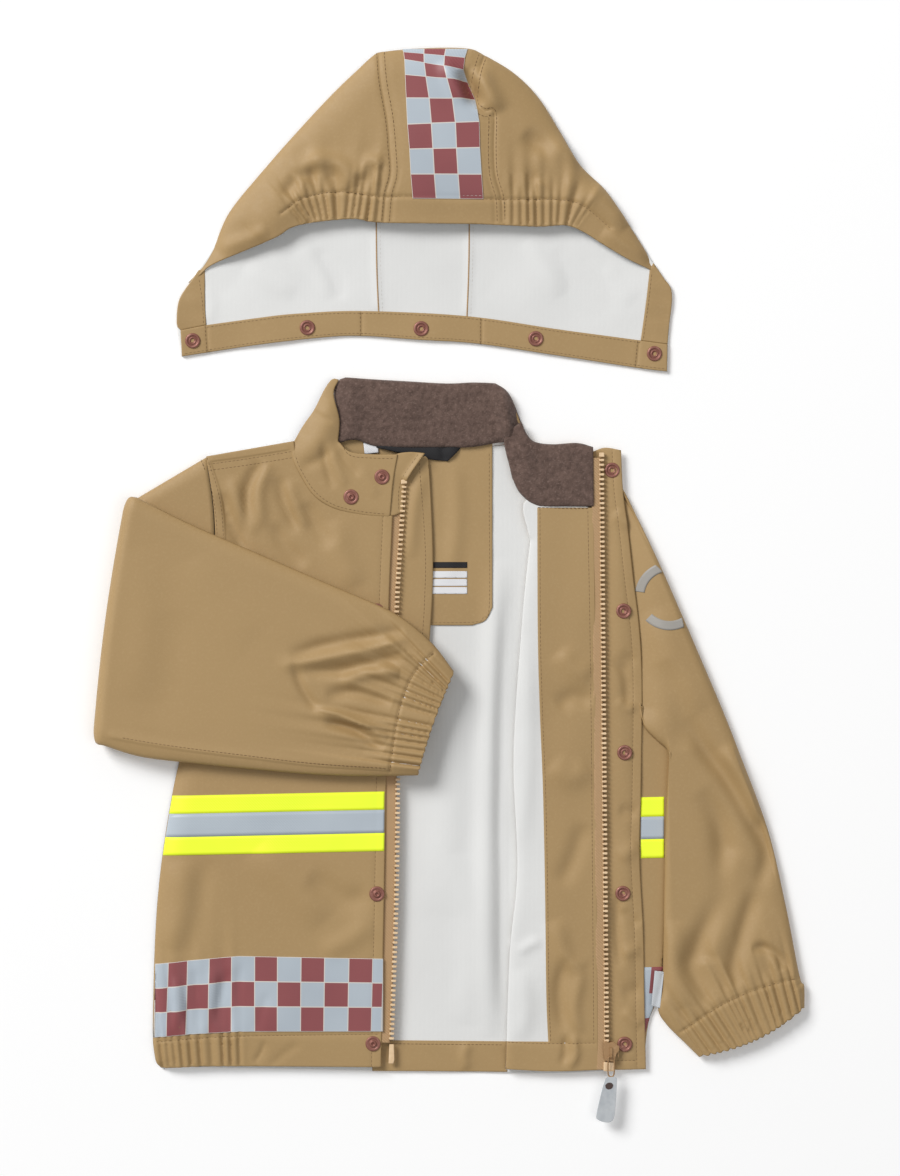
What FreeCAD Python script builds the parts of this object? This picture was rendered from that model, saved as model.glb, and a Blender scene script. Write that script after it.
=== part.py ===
import FreeCAD, Part
import math
import os

# Child's turnout coat, laid out flat with its front up: +Z is up off the table, +Y runs from the hem
# to the collar, and +X is on the wearer's left.  The wearer's right front lies closed, the left
# front is folded open, the right sleeve is folded across the chest, and the hood lies above the collar.
# All lengths are millimetres.  Outlines are (x, y) points.

# ---- driving dimensions -------------------------------------------------------------------
CLOTH = 1.4                 # coated cloth with its knitted lining
FACING = 0.8                # one extra layer of cloth sewn on
FILM = 0.3                  # reflective film bonded to the cloth
FLEECE = 2.6                # collar lining
HALF_WIDTH = 278.0          # the layout reaches this far each side of its middle
HALF_LENGTH = 420.0         # and this far above and below it
HEM_Y = -381.0              # lower edge of the coat
HEM_BAND = 23.0             # height of the turned-up hem
SHELL_GAP = 6.6             # room between the back and the closed right front
SLEEVE_THICK = 10.0         # a sleeve lying flat, two layers and the air between them
HOOD_HEIGHT = 20.0          # the hood lying flat
SNAP_R = 5.8                # ring snap fastener
SNAP_H = 2.0
TOOTH_PITCH = 3.745         # moulded zip teeth
TOOTH_LENGTH = 1.9          # along the chain
TOOTH_REACH = 1.9           # each side of the chain's middle
TEETH_H = 3.0
TAPE_LIME = 14.1            # retroreflective trim: lime, silver, lime
TAPE_SILVER = 18.1
CHECK = 18.6                # side of a square in the check bands
CHECK_ROW = 19.2
FOLD_X = 42.0               # the left front folds open about this line
FOLD_Z = 4.6

# ---- heights of the layers above the table ----------------------------------------------------
BACK_TOP = CLOTH
LINING_TOP = BACK_TOP + FACING
SIDE_TOP = BACK_TOP + CLOTH
FRONT_Z = BACK_TOP + SHELL_GAP
FRONT_TOP = FRONT_Z + CLOTH
GUARD_Z = 4.6
COLLAR_Z = LINING_TOP
FLAP_Z = 3.2
FLAP_TOP = 4.4
LEFT_Z = 5.4
LEFT_TOP = LEFT_Z + CLOTH
LEFT_FACING_TOP = LEFT_TOP + FACING
SLEEVE_FOLD_Z = 11.0
FOREARM_Z = 2 * SLEEVE_FOLD_Z - SLEEVE_THICK

# ---- places shared by several pieces --------------------------------------------------------
LEFT_CHAIN = [(123.2, -372.0), (119.2, 99.0)]
RIGHT_CHAIN = [(-45.0, -358.0), (-41.0, -240.0), (-40.0, -120.0), (-41.0, -26.0), (-35.0, 78.0)]
FRONT_STUDS = [(-52.3, 83.9), (-56.5, -20.7), (-57.0, -131.4), (-56.2, -241.4), (-59.3, -358.4)]
FLAP_SNAPS = [(127.5, 89.3), (136.5, -20.7), (137.3, -131.4), (135.9, -241.4), (137.3, -359.2)]
HOOD_SNAPS = [(-200.5, 190.7), (-110.8, 200.9), (-21.8, 200.1), (67.9, 192.3), (160.7, 180.6)]
NECK_STUDS = [(-88.0, 121.0), (-18.0, 119.0), (46.0, 121.0)]
COLLAR_STUD = (-76.4, 68.3)
LEFT_COLLAR_STUD = (78.0, 76.0)


# ---- tools ------------------------------------------------------------------------------------
def point(xy, z=0.0):
    return FreeCAD.Vector(xy[0], xy[1], z)


def curve(points):
    """A smooth edge through the points, or a straight one between two."""
    vectors = [point(p) for p in points]
    if len(vectors) == 2:
        return Part.makeLine(*vectors)
    spline = Part.BSplineCurve()
    spline.interpolate(vectors)
    return spline.toShape()


def outline(*runs):
    """A closed face.  Each run of points is one edge: two points are straight, more are smooth."""
    edges = []
    for number, run in enumerate(runs):
        following = runs[(number + 1) % len(runs)]
        edges.append(curve(run))
        if math.dist(run[-1], following[0]) > 1e-6:
            edges.append(curve([run[-1], following[0]]))
    return Part.Face(Part.Wire(edges))


def polygon(points):
    vectors = [point(p) for p in points]
    return Part.Face(Part.makePolygon(vectors + vectors[:1]))


def slab(face, low, high):
    """The face as a sheet between two heights."""
    sheet = face.copy()
    sheet.translate(FreeCAD.Vector(0, 0, low))
    return sheet.extrude(FreeCAD.Vector(0, 0, high - low))


def box(x0, x1, y0, y1, z0, z1):
    return Part.makeBox(x1 - x0, y1 - y0, z1 - z0, FreeCAD.Vector(x0, y0, z0))


def disc(xy, radius, low, high):
    return Part.makeCylinder(radius, high - low, point(xy, low))


def fuse(shapes):
    whole = shapes[0]
    for shape in shapes[1:]:
        whole = whole.fuse(shape)
    return whole.removeSplitter()


def write(name, *solids):
    shape = solids[0] if len(solids) == 1 else Part.makeCompound(list(solids))
    shape.exportStep(f"parts/{name}.step")


def along(points, distance):
    """The place and direction at a distance along a line of straight runs."""
    for start, end in zip(points, points[1:]):
        run = math.dist(start, end)
        if distance <= run or end is points[-1]:
            t = distance / run
            direction = ((end[0] - start[0]) / run, (end[1] - start[1]) / run)
            place = (start[0] + t * (end[0] - start[0]), start[1] + t * (end[1] - start[1]))
            return place, direction
        distance -= run


def beside(place, direction, offset):
    """A point to the right of a place on a line, seen along the line."""
    return (place[0] + offset * direction[1], place[1] - offset * direction[0])


def toothed_chain(points, first, low):
    """One half of a zip: a bead with teeth on both faces, as one solid."""
    length = sum(math.dist(a, b) for a, b in zip(points, points[1:]))
    bead = TOOTH_REACH * 0.45
    right_side = []
    left_side = []
    at = first
    while at + TOOTH_PITCH < length:
        for step, reach in ((0.0, TOOTH_REACH), (TOOTH_LENGTH, TOOTH_REACH),
                            (TOOTH_LENGTH, bead), (TOOTH_PITCH, bead)):
            place, direction = along(points, at + step)
            right_side.append(beside(place, direction, reach))
            left_side.append(beside(place, direction, -reach))
        at += TOOTH_PITCH
    return slab(polygon(right_side + left_side[::-1]), low, low + TEETH_H)


def strip_beside(points, inner, outer, low, high):
    """A strip between two distances to the right of a line."""
    edges = []
    for offset in (inner, outer):
        edge = []
        for number, corner in enumerate(points):
            neighbour = points[number + 1] if number + 1 < len(points) else points[number - 1]
            sign = 1 if number + 1 < len(points) else -1
            run = math.dist(corner, neighbour)
            direction = (sign * (neighbour[0] - corner[0]) / run,
                         sign * (neighbour[1] - corner[1]) / run)
            edge.append(beside(corner, direction, offset))
        edges.append(edge)
    return slab(polygon(edges[0] + edges[1][::-1]), low, high)


def towards(start, end, distance):
    t = distance / math.dist(start, end)
    return (start[0] + t * (end[0] - start[0]), start[1] + t * (end[1] - start[1]))


def flat_tube(upper, lower, low, high, wall, open_start=True):
    """A sleeve lying flat: two paired edges, open at the last pair and, if asked, at the first."""
    inner_upper = [towards(a, b, wall) for a, b in zip(upper, lower)]
    inner_lower = [towards(b, a, wall) for a, b in zip(upper, lower)]
    for edge in (inner_upper, inner_lower):
        edge[-1] = towards(edge[-1], edge[-2], -1.0)
        edge[0] = towards(edge[0], edge[1], -1.0 if open_start else wall)
    outer = slab(polygon(upper + lower[::-1]), low, high)
    return outer.cut(slab(polygon(inner_upper + inner_lower[::-1]), low + wall, high - wall))


def tube_lining(upper, lower, low, high, inset, wall):
    """A band lying inside a flat tube, open at both ends."""
    outer_upper = [towards(a, b, inset) for a, b in zip(upper, lower)]
    outer_lower = [towards(b, a, inset) for a, b in zip(upper, lower)]
    return flat_tube(outer_upper, outer_lower, low + inset, high - inset, wall)


def check_squares(left, right, base, rows, first_red, low):
    """The red squares of a check band: they alternate along each row and from row to row."""
    squares = []
    columns = math.ceil((right - left) / CHECK)
    for row in range(rows):
        for column in range(columns):
            if (row + column) % 2 == first_red:
                continue
            x1 = right - column * CHECK
            x0 = max(left, x1 - CHECK)
            y0 = base + row * CHECK_ROW
            squares.append(box(x0, x1, y0, y0 + CHECK_ROW, low, low + FILM))
    return squares


os.makedirs("parts", exist_ok=True)

# ---- body of the coat ----------------------------------------------------------------------
RIGHT_SIDE = [(-189.5, 100.0), (-183.0, 50.0), (-184.0, -12.0), (-200.0, -92.0), (-217.0, -166.0),
              (-228.0, -246.0), (-231.5, -341.0), (-225.0, -378.0)]
LEFT_SIDE = [(150.0, -95.0), (168.0, -140.0), (169.0, -200.0), (167.0, -300.0), (156.0, HEM_Y + 2)]
LEFT_ARMHOLE = [(133.0, 79.0), (138.0, 43.0), (143.0, 0.0), (148.0, -40.0), (150.0, -95.0)]
FRONT_EDGE = [(-44.0, 54.0), (-47.0, -22.0), (-49.0, -152.0), (-53.0, HEM_Y + 4)]
FOLD_EDGE = [(63.0, 34.0), (57.0, -25.0), (50.0, -133.0), (53.0, -222.0), (47.0, -290.0),
             (44.0, HEM_Y + 2)]

back_face = outline(RIGHT_SIDE, [(-225.0, -378.0), (-189.0, -377.0), (-23.0, HEM_Y), (154.0, HEM_Y + 2)],
                    LEFT_SIDE[::-1], LEFT_ARMHOLE[::-1], [(133.0, 79.0), (118.0, 94.0), (56.0, 111.0)],
                    [(56.0, 111.0), (-20.0, 107.0), (-121.0, 112.0)], [(-121.0, 112.0), (-189.5, 100.0)])
back_panel = slab(back_face, 0, BACK_TOP)
write("back_panel", back_panel)

front_face = outline(RIGHT_SIDE, [(-225.0, -378.0), (-189.0, -376.0), (-53.0, HEM_Y + 4)],
                     FRONT_EDGE[::-1], [(-44.0, 54.0), (-80.0, 58.0), (-105.0, 72.0), (-117.0, 90.0),
                                        (-121.0, 112.0)], [(-121.0, 112.0), (-189.5, 100.0)])
write("right_front_panel", slab(front_face, FRONT_Z, FRONT_TOP))

# The cloth turns up at the wearer's right side, from the back to the front.
side_turn = [(x + CLOTH, y) for x, y in RIGHT_SIDE]
side_face = outline(RIGHT_SIDE[2:], side_turn[2:][::-1])
write("right_side_seam", slab(side_face, BACK_TOP, FRONT_Z))

# The part of the left front that stays with the side seam, under the part that is folded open.
side_panel_face = outline([(58.0, 104.0), (60.0, 62.0), (63.0, 34.0)], FOLD_EDGE,
                          [(44.0, HEM_Y + 2), (154.0, HEM_Y + 2)], LEFT_SIDE[::-1], LEFT_ARMHOLE[::-1],
                          [(133.0, 79.0), (118.0, 92.0)])
write("left_front_side", slab(side_panel_face, BACK_TOP, SIDE_TOP))

# ---- inside of the back ------------------------------------------------------------------------
facing_face = outline([(-103.0, 105.0), (-103.0, -32.0)], [(-103.0, -32.0), (21.0, -32.0)],
                      [(21.0, -32.0), (30.2, -28.2), (34.0, -19.0)], [(34.0, -19.0), (34.0, 105.0)])
write("back_neck_facing", slab(facing_face, BACK_TOP, LINING_TOP))
write("inside_labels", box(-42.0, 14.5, -7.4, 17.6, LINING_TOP, LINING_TOP + 0.4),
      box(-66.0, -58.0, 94.0, 104.0, LINING_TOP, LINING_TOP + 0.4))

# The hanger loop is a short folded tape lying flat under the collar seam.
loop_face = outline([(-56.0, 101.5), (-56.0, 96.0)], [(-56.0, 96.0), (-24.0, 89.0), (9.0, 96.0)],
                    [(9.0, 96.0), (9.0, 101.5)])
write("hanger_loop", slab(loop_face, LINING_TOP, LINING_TOP + 1.2))

write("hem_facing_back", box(-46.0, 43.0, HEM_Y + 1, HEM_Y + HEM_BAND, BACK_TOP, LINING_TOP))
hem_face = outline([(-222.0, -376.0), (-189.0, -374.5), (-55.0, HEM_Y + 5)],
                   [(-55.0, HEM_Y + 5 + HEM_BAND), (-189.0, -353.0), (-226.0, -354.0)])
write("hem_facing_right_front", slab(hem_face, FRONT_Z - FACING, FRONT_Z))
ELASTIC_X = (-220.0, -165.0)
write("hem_elastic_right", box(*ELASTIC_X, -372.0, -358.0, FRONT_Z - 2 * FACING, FRONT_Z - FACING))
write("hem_elastic_left", box(100.0, 152.0, -374.0, -360.0, SIDE_TOP, SIDE_TOP + FILM))

# ---- collar --------------------------------------------------------------------------------------
collar_back_face = outline([(-88.0, 113.0), (-90.0, 150.0), (-81.0, 162.0)],
                           [(-81.0, 162.0), (-33.0, 159.0), (36.0, 157.5)],
                           [(36.0, 157.5), (47.0, 151.0), (55.0, 128.0), (56.0, 107.0)],
                           [(56.0, 107.0), (-20.0, 103.0), (-88.0, 106.0)])
write("collar_outer_back", slab(collar_back_face, COLLAR_Z, COLLAR_Z + CLOTH))
write("collar_fleece_back", slab(collar_back_face, COLLAR_Z + CLOTH, COLLAR_Z + CLOTH + FLEECE))
collar_right_face = outline([(-44.0, 55.0), (-80.0, 59.0), (-104.0, 73.0), (-116.0, 91.0), (-120.0, 112.5)],
                            [(-120.0, 112.5), (-109.0, 132.0), (-92.0, 158.0)],
                            [(-92.0, 158.0), (-91.5, 140.0), (-86.0, 112.0)],
                            [(-86.0, 112.0), (-76.0, 104.0), (-47.0, 101.5)], [(-40.0, 101.5), (-44.0, 55.0)])
write("collar_outer_right", slab(collar_right_face, FRONT_TOP, FRONT_TOP + CLOTH))
collar_lining = slab(collar_right_face, FRONT_TOP - FLEECE, FRONT_TOP).cut(
    slab(front_face, FRONT_Z - FLEECE, FRONT_TOP + CLOTH))
write("collar_fleece_right", collar_lining)
write("hood_studs_neck", disc(COLLAR_STUD, SNAP_R, FRONT_TOP + CLOTH, FRONT_TOP + CLOTH + SNAP_H),
      *[disc(xy, SNAP_R, 0.0, COLLAR_Z) for xy in NECK_STUDS])

# ---- zip on the right front --------------------------------------------------------------------
right_tape = strip_beside(RIGHT_CHAIN, -TOOTH_REACH - 8.0, -TOOTH_REACH, FRONT_Z - FACING, FRONT_Z)
write("zip_tape_right", right_tape.cut(collar_lining))
write("zip_teeth_right", toothed_chain(RIGHT_CHAIN, 0.0, GUARD_Z + CLOTH + 0.1))
write("zip_pin_right", box(-47.0, -43.0, -374.0, -358.4, GUARD_Z + CLOTH + 0.1, FRONT_Z - FACING))
write("zip_top_stop_right", box(-37.5, -32.5, 78.5, 82.0, GUARD_Z + CLOTH + 0.1, FRONT_TOP))
guard_flap = outline([(-75.0, 50.0), (-75.0, -375.0)], [(-75.0, -375.0), (-54.0, -375.0)],
                     [(-54.0, -375.0), (-48.0, -160.0)], [(-48.0, -160.0), (-15.0, -60.0)],
                     [(-15.0, -60.0), (-12.5, 10.0), (-13.0, 60.0), (-17.0, 92.0)],
                     [(-17.0, 92.0), (-30.0, 92.0), (-34.0, 50.0)])
guard_root = polygon([(-75.0, 45.0), (-75.0, -352.0), (-58.0, -352.0), (-58.0, 45.0)])
write("zip_guard", fuse([slab(guard_flap, GUARD_Z, GUARD_Z + CLOTH),
                         slab(guard_root, GUARD_Z + CLOTH, FRONT_Z)]))
write("front_snap_studs", *[disc(xy, SNAP_R, FRONT_TOP + (CLOTH if xy[1] > 60 else 0.0),
                                 FRONT_TOP + (CLOTH if xy[1] > 60 else 0.0) + SNAP_H)
                            for xy in FRONT_STUDS])

# ---- reflective trim on the body --------------------------------------------------------------
TAPE_Y = -162.0
SIDE_TRIM = (155.5, 166.0)
lime = []
silver = []
for x0, x1, z in ((-219.0, -50.0, FRONT_TOP), (*SIDE_TRIM, SIDE_TOP)):
    top = TAPE_Y - 2.0 if x0 < 0 else TAPE_Y - 5.0
    middle = top - TAPE_LIME
    lower = middle - TAPE_SILVER
    inset = 0.0 if x0 > 0 else 3.0
    lime.append(box(x0 + inset, x1, middle, top, z, z + FILM))
    silver.append(box(x0, x1, lower, middle, z, z + FILM))
    lime.append(box(x0, x1, lower - TAPE_LIME, lower, z, z + FILM))
write("tape_lime", *lime)
write("tape_silver", *silver)
CHECK_BASE = -349.0
check_top = CHECK_BASE + 3 * CHECK_ROW
write("check_band_base", box(-229.0, -51.0, CHECK_BASE, check_top, FRONT_TOP, FRONT_TOP + FILM),
      box(SIDE_TRIM[0], 165.0, CHECK_BASE, check_top, SIDE_TOP, SIDE_TOP + FILM))
write("check_band_red", *check_squares(-229.0, -51.0, CHECK_BASE, 3, 1, FRONT_TOP + FILM))
write("side_label", box(159.0, 168.5, -329.0, -300.0, SIDE_TOP + FILM, SIDE_TOP + 2 * FILM))

# ---- left front, folded open -------------------------------------------------------------------
panel_face = outline([(x + 1.0, y) for x, y in FOLD_EDGE], [(45.0, HEM_Y + 2), (117.0, HEM_Y + 2)],
                     [(117.0, HEM_Y + 2), (113.4, 61.0)], [(113.4, 61.0), (70.0, 62.0), (64.5, 50.0)])
left_facing_face = outline([(69.0, 58.0), (68.6, -64.0), (73.6, -160.0), (76.0, -319.0), (77.0, HEM_Y + 3)],
                           [(77.0, HEM_Y + 3), (111.5, HEM_Y + 3)], [(111.5, HEM_Y + 3), (108.0, 60.0)])
write("left_front_facing", slab(left_facing_face, LEFT_TOP, LEFT_FACING_TOP))
collar_left_face = outline([(66.0, 63.0), (113.0, 61.5)], [(113.0, 61.5), (112.5, 110.5)],
                           [(112.5, 110.5), (90.0, 112.0), (66.0, 113.0), (59.0, 119.0)],
                           [(59.0, 119.0), (58.5, 80.0), (66.0, 63.0)])
write("left_front_panel", slab(panel_face, LEFT_Z, LEFT_TOP).cut(slab(collar_left_face, LEFT_Z, LEFT_TOP)))
write("collar_outer_left", slab(collar_left_face, LEFT_Z, LEFT_TOP))
write("collar_fleece_left", slab(collar_left_face, LEFT_TOP, LEFT_TOP + FLEECE))
left_tape = strip_beside(LEFT_CHAIN, -TOOTH_REACH - 5.6, -TOOTH_REACH, LEFT_TOP, LEFT_FACING_TOP)
write("zip_tape_left", left_tape.cut(slab(collar_left_face, LEFT_TOP, LEFT_TOP + FLEECE)))
TEETH_LEFT_Z = 5.7
write("zip_teeth_left", toothed_chain(LEFT_CHAIN, 0.0, TEETH_LEFT_Z))
write("zip_top_stop_left", box(117.2, 121.2, 99.6, 103.0, TEETH_LEFT_Z, TEETH_LEFT_Z + TEETH_H))
write("zip_retainer_box", box(120.6, 129.2, HEM_Y + 1, -372.6, FLAP_TOP, TEETH_LEFT_Z + TEETH_H))
flap_face = outline([(112.0, 103.0), (114.0, HEM_Y + 2)], [(114.0, HEM_Y + 2), (153.5, HEM_Y + 2)],
                    [(153.5, HEM_Y + 2), (152.0, -274.0), (149.5, -211.0), (150.0, -166.0), (151.0, -82.0),
                     (148.0, -36.0), (143.5, 6.0), (139.5, 43.0), (136.0, 76.0), (134.5, 103.0)])
flap_root = polygon([(112.5, 58.0), (115.5, HEM_Y + 4), (116.5, HEM_Y + 4), (113.2, 58.0)])
write("storm_flap", fuse([slab(flap_face, FLAP_Z, FLAP_TOP), slab(flap_root, FLAP_TOP, LEFT_Z)]))
write("flap_snap_sockets", *[disc(xy, SNAP_R, FLAP_TOP, FLAP_TOP + SNAP_H) for xy in FLAP_SNAPS])
write("hood_stud_left", disc(LEFT_COLLAR_STUD, SNAP_R, LEFT_Z - SNAP_H, LEFT_Z))

# ---- zip slider and its pull ----------------------------------------------------------------------
# Built with the chain's middle at x = 0 and the slider's lower end at y = 0, then laid on the chain.
SLIDER_LENGTH = 16.0
SLIDER_LOW = 4.75
SLIDER_FLOOR = 5.4
SLIDER_ROOF = 9.0
SLIDER_TOP = 10.2
lower_plate = box(-1.6, 6.6, 0, SLIDER_LENGTH, SLIDER_LOW, SLIDER_FLOOR)
upper_plate = polygon([(-3.0, 3.0), (0.5, 0.0), (6.0, 0.0), (9.5, 3.0), (9.5, 11.0), (7.5, SLIDER_LENGTH),
                       (-1.0, SLIDER_LENGTH), (-3.0, 11.0)])
wedge = box(2.4, 3.8, SLIDER_LENGTH - 6, SLIDER_LENGTH, SLIDER_FLOOR, SLIDER_ROOF)
outer_wall = box(5.6, 6.6, 0, SLIDER_LENGTH - 2, SLIDER_FLOOR, SLIDER_ROOF)
crown = box(2.2, 4.4, 2.0, 11.0, SLIDER_TOP, SLIDER_TOP + 2.2)
pull_bore = Part.makeCylinder(0.95, 20, FreeCAD.Vector(-5, 4.0, SLIDER_TOP + 1.1),
                              FreeCAD.Vector(1, 0, 0))
slider = fuse([lower_plate, slab(upper_plate, SLIDER_ROOF, SLIDER_TOP), wedge, outer_wall, crown])
slider = slider.cut(pull_bore)

PULL_PIN_R = 0.85
pin = Part.makeCylinder(PULL_PIN_R, 7.4, FreeCAD.Vector(-0.4, 4.0, SLIDER_TOP + 1.1),
                        FreeCAD.Vector(1, 0, 0))
arms = [box(x, x + 1.2, -9.0, 4.8, SLIDER_TOP + 0.4, SLIDER_TOP + 1.8) for x in (-0.4, 5.8)]
bridge = box(-0.4, 7.0, -12.0, -8.0, SLIDER_TOP - 0.6, SLIDER_TOP + 1.8)
link = fuse([pin, *arms, bridge])

tab_face = polygon([(-1.4, -12.2), (7.6, -12.2), (5.6, -44.0), (1.0, -48.0), (-9.0, -45.5), (-6.0, -28.0)])
rivet_slot = slab(polygon([(-1.6, -16.0), (5.0, -16.0), (3.4, -22.0), (-2.4, -22.0)]), 9.0, 12.0)
tab = slab(tab_face, 9.4, 10.8).cut(rivet_slot)

slider_place, slider_direction = along(LEFT_CHAIN, 0.0)
tilt = math.degrees(math.atan2(-slider_direction[0], slider_direction[1]))
for name, shape in (("zip_slider_body", slider), ("zip_pull_link", link), ("zip_pull_tab", tab)):
    shape.rotate(FreeCAD.Vector(0, 0, 0), FreeCAD.Vector(0, 0, 1), tilt)
    shape.translate(point(slider_place))
    write(name, shape)

# ---- right sleeve, folded across the chest --------------------------------------------------
FOLD_TOP = (-252.0, 69.0)
FOLD_LOW = (-278.0, -124.0)
upper_edges = ([(-190.5, 99.0), FOLD_TOP], [(-200.0, -90.0), FOLD_LOW])
write("right_sleeve_upper", flat_tube(*upper_edges, 0.0, SLEEVE_THICK, 1.2).cut(
    slab(front_face, 0.0, 2 * SLEEVE_THICK)).cut(slab(back_face, -1.0, SLEEVE_THICK)))
lower_upper = [FOLD_TOP, (-147.0, 24.0), (-54.0, -18.0), (-25.0, -37.0)]
lower_lower = [FOLD_LOW, (-200.0, -138.0), (-100.0, -147.0), (-46.0, -150.0)]
cuff_upper = [(-24.7, -37.3), (-12.0, -48.0), (2.0, -66.0)]
cuff_lower = [(-45.7, -150.0), (-34.0, -151.0), (-24.0, -151.0)]
CUFF_LOW = FOREARM_Z
CUFF_HIGH = FOREARM_Z + SLEEVE_THICK
write("right_sleeve_lower", flat_tube(lower_upper, lower_lower, CUFF_LOW, CUFF_HIGH, 1.2))
write("right_cuff", flat_tube(cuff_upper, cuff_lower, CUFF_LOW, CUFF_HIGH, 1.2))
write("right_cuff_elastic", tube_lining(cuff_upper, cuff_lower, CUFF_LOW, CUFF_HIGH, 1.2, 0.8))

# ---- left sleeve ----------------------------------------------------------------------------------
left_outer = [(139.0, 71.0), (165.0, 16.0), (196.0, -56.0), (213.0, -96.0), (249.0, -191.0),
              (275.0, -306.0)]
left_inner = [(141.5, 48.0), (151.0, -30.0), (154.0, -88.0), (174.0, -134.0), (174.0, -215.0),
              (180.0, -349.0)]
left_cuff_outer = [(275.2, -306.8), (HALF_WIDTH, -329.0)]
left_cuff_inner = [(180.2, -349.8), (195.0, -368.0)]
LEFT_SLEEVE_TOP = 9.4
ELBOW = 3                   # the pair of edge points where the sleeve's two panels meet
write("left_sleeve_head", flat_tube(left_outer[:ELBOW + 1], left_inner[:ELBOW + 1], 0.0, LEFT_SLEEVE_TOP,
                                    1.2, False))
write("left_sleeve_lower", flat_tube(left_outer[ELBOW:], left_inner[ELBOW:], 0.0, LEFT_SLEEVE_TOP, 1.2))
write("left_cuff", flat_tube(left_cuff_outer, left_cuff_inner, 0.0, LEFT_SLEEVE_TOP, 1.2))
write("left_cuff_elastic", tube_lining(left_cuff_outer, left_cuff_inner, 0.0, LEFT_SLEEVE_TOP, 1.2, 0.8))

# A reflective ring in two arcs, bonded to the upper sleeve.
RING_CENTRE = (172.0, -12.0)
RING_R = 22.5
RING_BAND = 5.0
ring = disc(RING_CENTRE, RING_R, LEFT_SLEEVE_TOP, LEFT_SLEEVE_TOP + FILM).cut(
    disc(RING_CENTRE, RING_R - RING_BAND, 0, 2 * SLEEVE_THICK))
ring = ring.common(slab(polygon(left_outer + left_inner[::-1]), 0, 2 * SLEEVE_THICK))
ring = ring.cut(box(140.0, 164.0, -17.0, 0.0, 0, 2 * SLEEVE_THICK))
write("left_sleeve_ring", *ring.Solids)

# ---- hood -----------------------------------------------------------------------------------------
HOOD_EDGE = [(-209.0, 178.0), (-211.0, 223.0), (-185.0, 263.0), (-154.0, 312.0), (-118.0, 355.0),
             (-88.0, 388.0), (-56.0, 417.0), (-20.0, HALF_LENGTH), (14.0, HALF_LENGTH), (28.0, 414.0),
             (70.0, 381.0), (101.0, 330.0), (132.0, 295.0), (159.0, 253.0), (175.0, 228.0), (171.0, 166.0),
             (83.0, 179.0), (22.0, 188.0), (-67.0, 194.0), (-150.0, 187.0)]
BRIM = [(-195.0, 241.0), (-158.0, 261.0), (-118.0, 279.0), (-75.0, 284.0), (0.0, 281.0), (70.0, 279.0),
        (105.0, 275.0), (132.0, 259.0), (157.0, 246.0)]
HOOD_MIDDLE = (-20.0, 290.0)
HOOD_SEAMS = (-50.0, 42.0)


def shrunk(points, share, z):
    return Part.makePolygon([point((x + share * (HOOD_MIDDLE[0] - x), y + share * (HOOD_MIDDLE[1] - y)), z)
                             for x, y in points + points[:1]])


def hood_block(share, low, high):
    """The hood's lying shape: steep at its edge, level over its middle."""
    rings = [shrunk(HOOD_EDGE, share, low), shrunk(HOOD_EDGE, share + 0.01, low + 0.35 * (high - low)),
             shrunk(HOOD_EDGE, share + 0.07, high)]
    return Part.makeLoft(rings, True, True)


shell = hood_block(0.0, 0.0, HOOD_HEIGHT).cut(hood_block(0.014, CLOTH, HOOD_HEIGHT - CLOTH))
mouth = polygon([(-330.0, 100.0), (-330.0, 241.0)] + BRIM + [(280.0, 246.0), (280.0, 100.0)])
shell = shell.cut(slab(mouth, CLOTH, 3 * HOOD_HEIGHT))
for name, x0, x1 in (("hood_panel_right", -300.0, HOOD_SEAMS[0]), ("hood_panel_centre", *HOOD_SEAMS),
                     ("hood_panel_left", HOOD_SEAMS[1], 300.0)):
    write(name, shell.common(box(x0, x1, 100.0, 500.0, -1.0, 3 * HOOD_HEIGHT)))

BAND_BOTTOM = [(-186.0, 183.0), (-150.0, 188.5), (-67.0, 195.5), (22.0, 189.5), (83.0, 180.5),
               (146.0, 171.5)]
band_top = [(x, y + 20.0) for x, y in BAND_BOTTOM]
write("hood_neck_band", slab(outline(BAND_BOTTOM, band_top[::-1]), CLOTH, CLOTH + FACING))
corner_right = polygon([(-206.5, 180.0), (-187.0, 183.0), (-189.0, 232.0), (-206.0, 224.0)])
corner_left = polygon([(147.0, 171.5), (169.0, 168.5), (171.0, 226.0), (154.0, 240.0)])
write("hood_corner_facings", slab(corner_right, CLOTH, CLOTH + FACING),
      slab(corner_left, CLOTH, CLOTH + FACING))

HEM_TOP = HOOD_HEIGHT - CLOTH
brim_run = BRIM[2:7]
brim_face = outline([(x, y + 2.0) for x, y in brim_run], [(x, y + 19.0) for x, y in brim_run][::-1])
write("hood_brim_hem", slab(brim_face, HEM_TOP - 2 * FACING, HEM_TOP - FACING))
elastics = []
for x0, x1 in ((-112.0, -51.0), (41.0, 100.0)):
    elastics.append(slab(brim_face, HEM_TOP - FACING, HEM_TOP).common(box(x0, x1, 282.5, 293.0, 0, 40)))
write("hood_brim_elastic", *elastics)

STRIP_X = (-31.0, -31.0 + 3 * CHECK)
STRIP_BASE = 301.0
STRIP_ROWS = 5
write("hood_reflective_strip", box(*STRIP_X, STRIP_BASE, STRIP_BASE + STRIP_ROWS * CHECK_ROW, HOOD_HEIGHT,
                                   HOOD_HEIGHT + FILM))
write("hood_check_red", *check_squares(*STRIP_X, STRIP_BASE, STRIP_ROWS, 1, HOOD_HEIGHT + FILM))
socket_z = CLOTH + FACING
write("hood_snap_sockets", *[disc(xy, SNAP_R, socket_z, socket_z + SNAP_H) for xy in HOOD_SNAPS])
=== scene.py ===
import bpy
import math
import numpy as np
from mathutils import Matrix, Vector, kdtree
from mathutils.geometry import delaunay_2d_cdt


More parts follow.
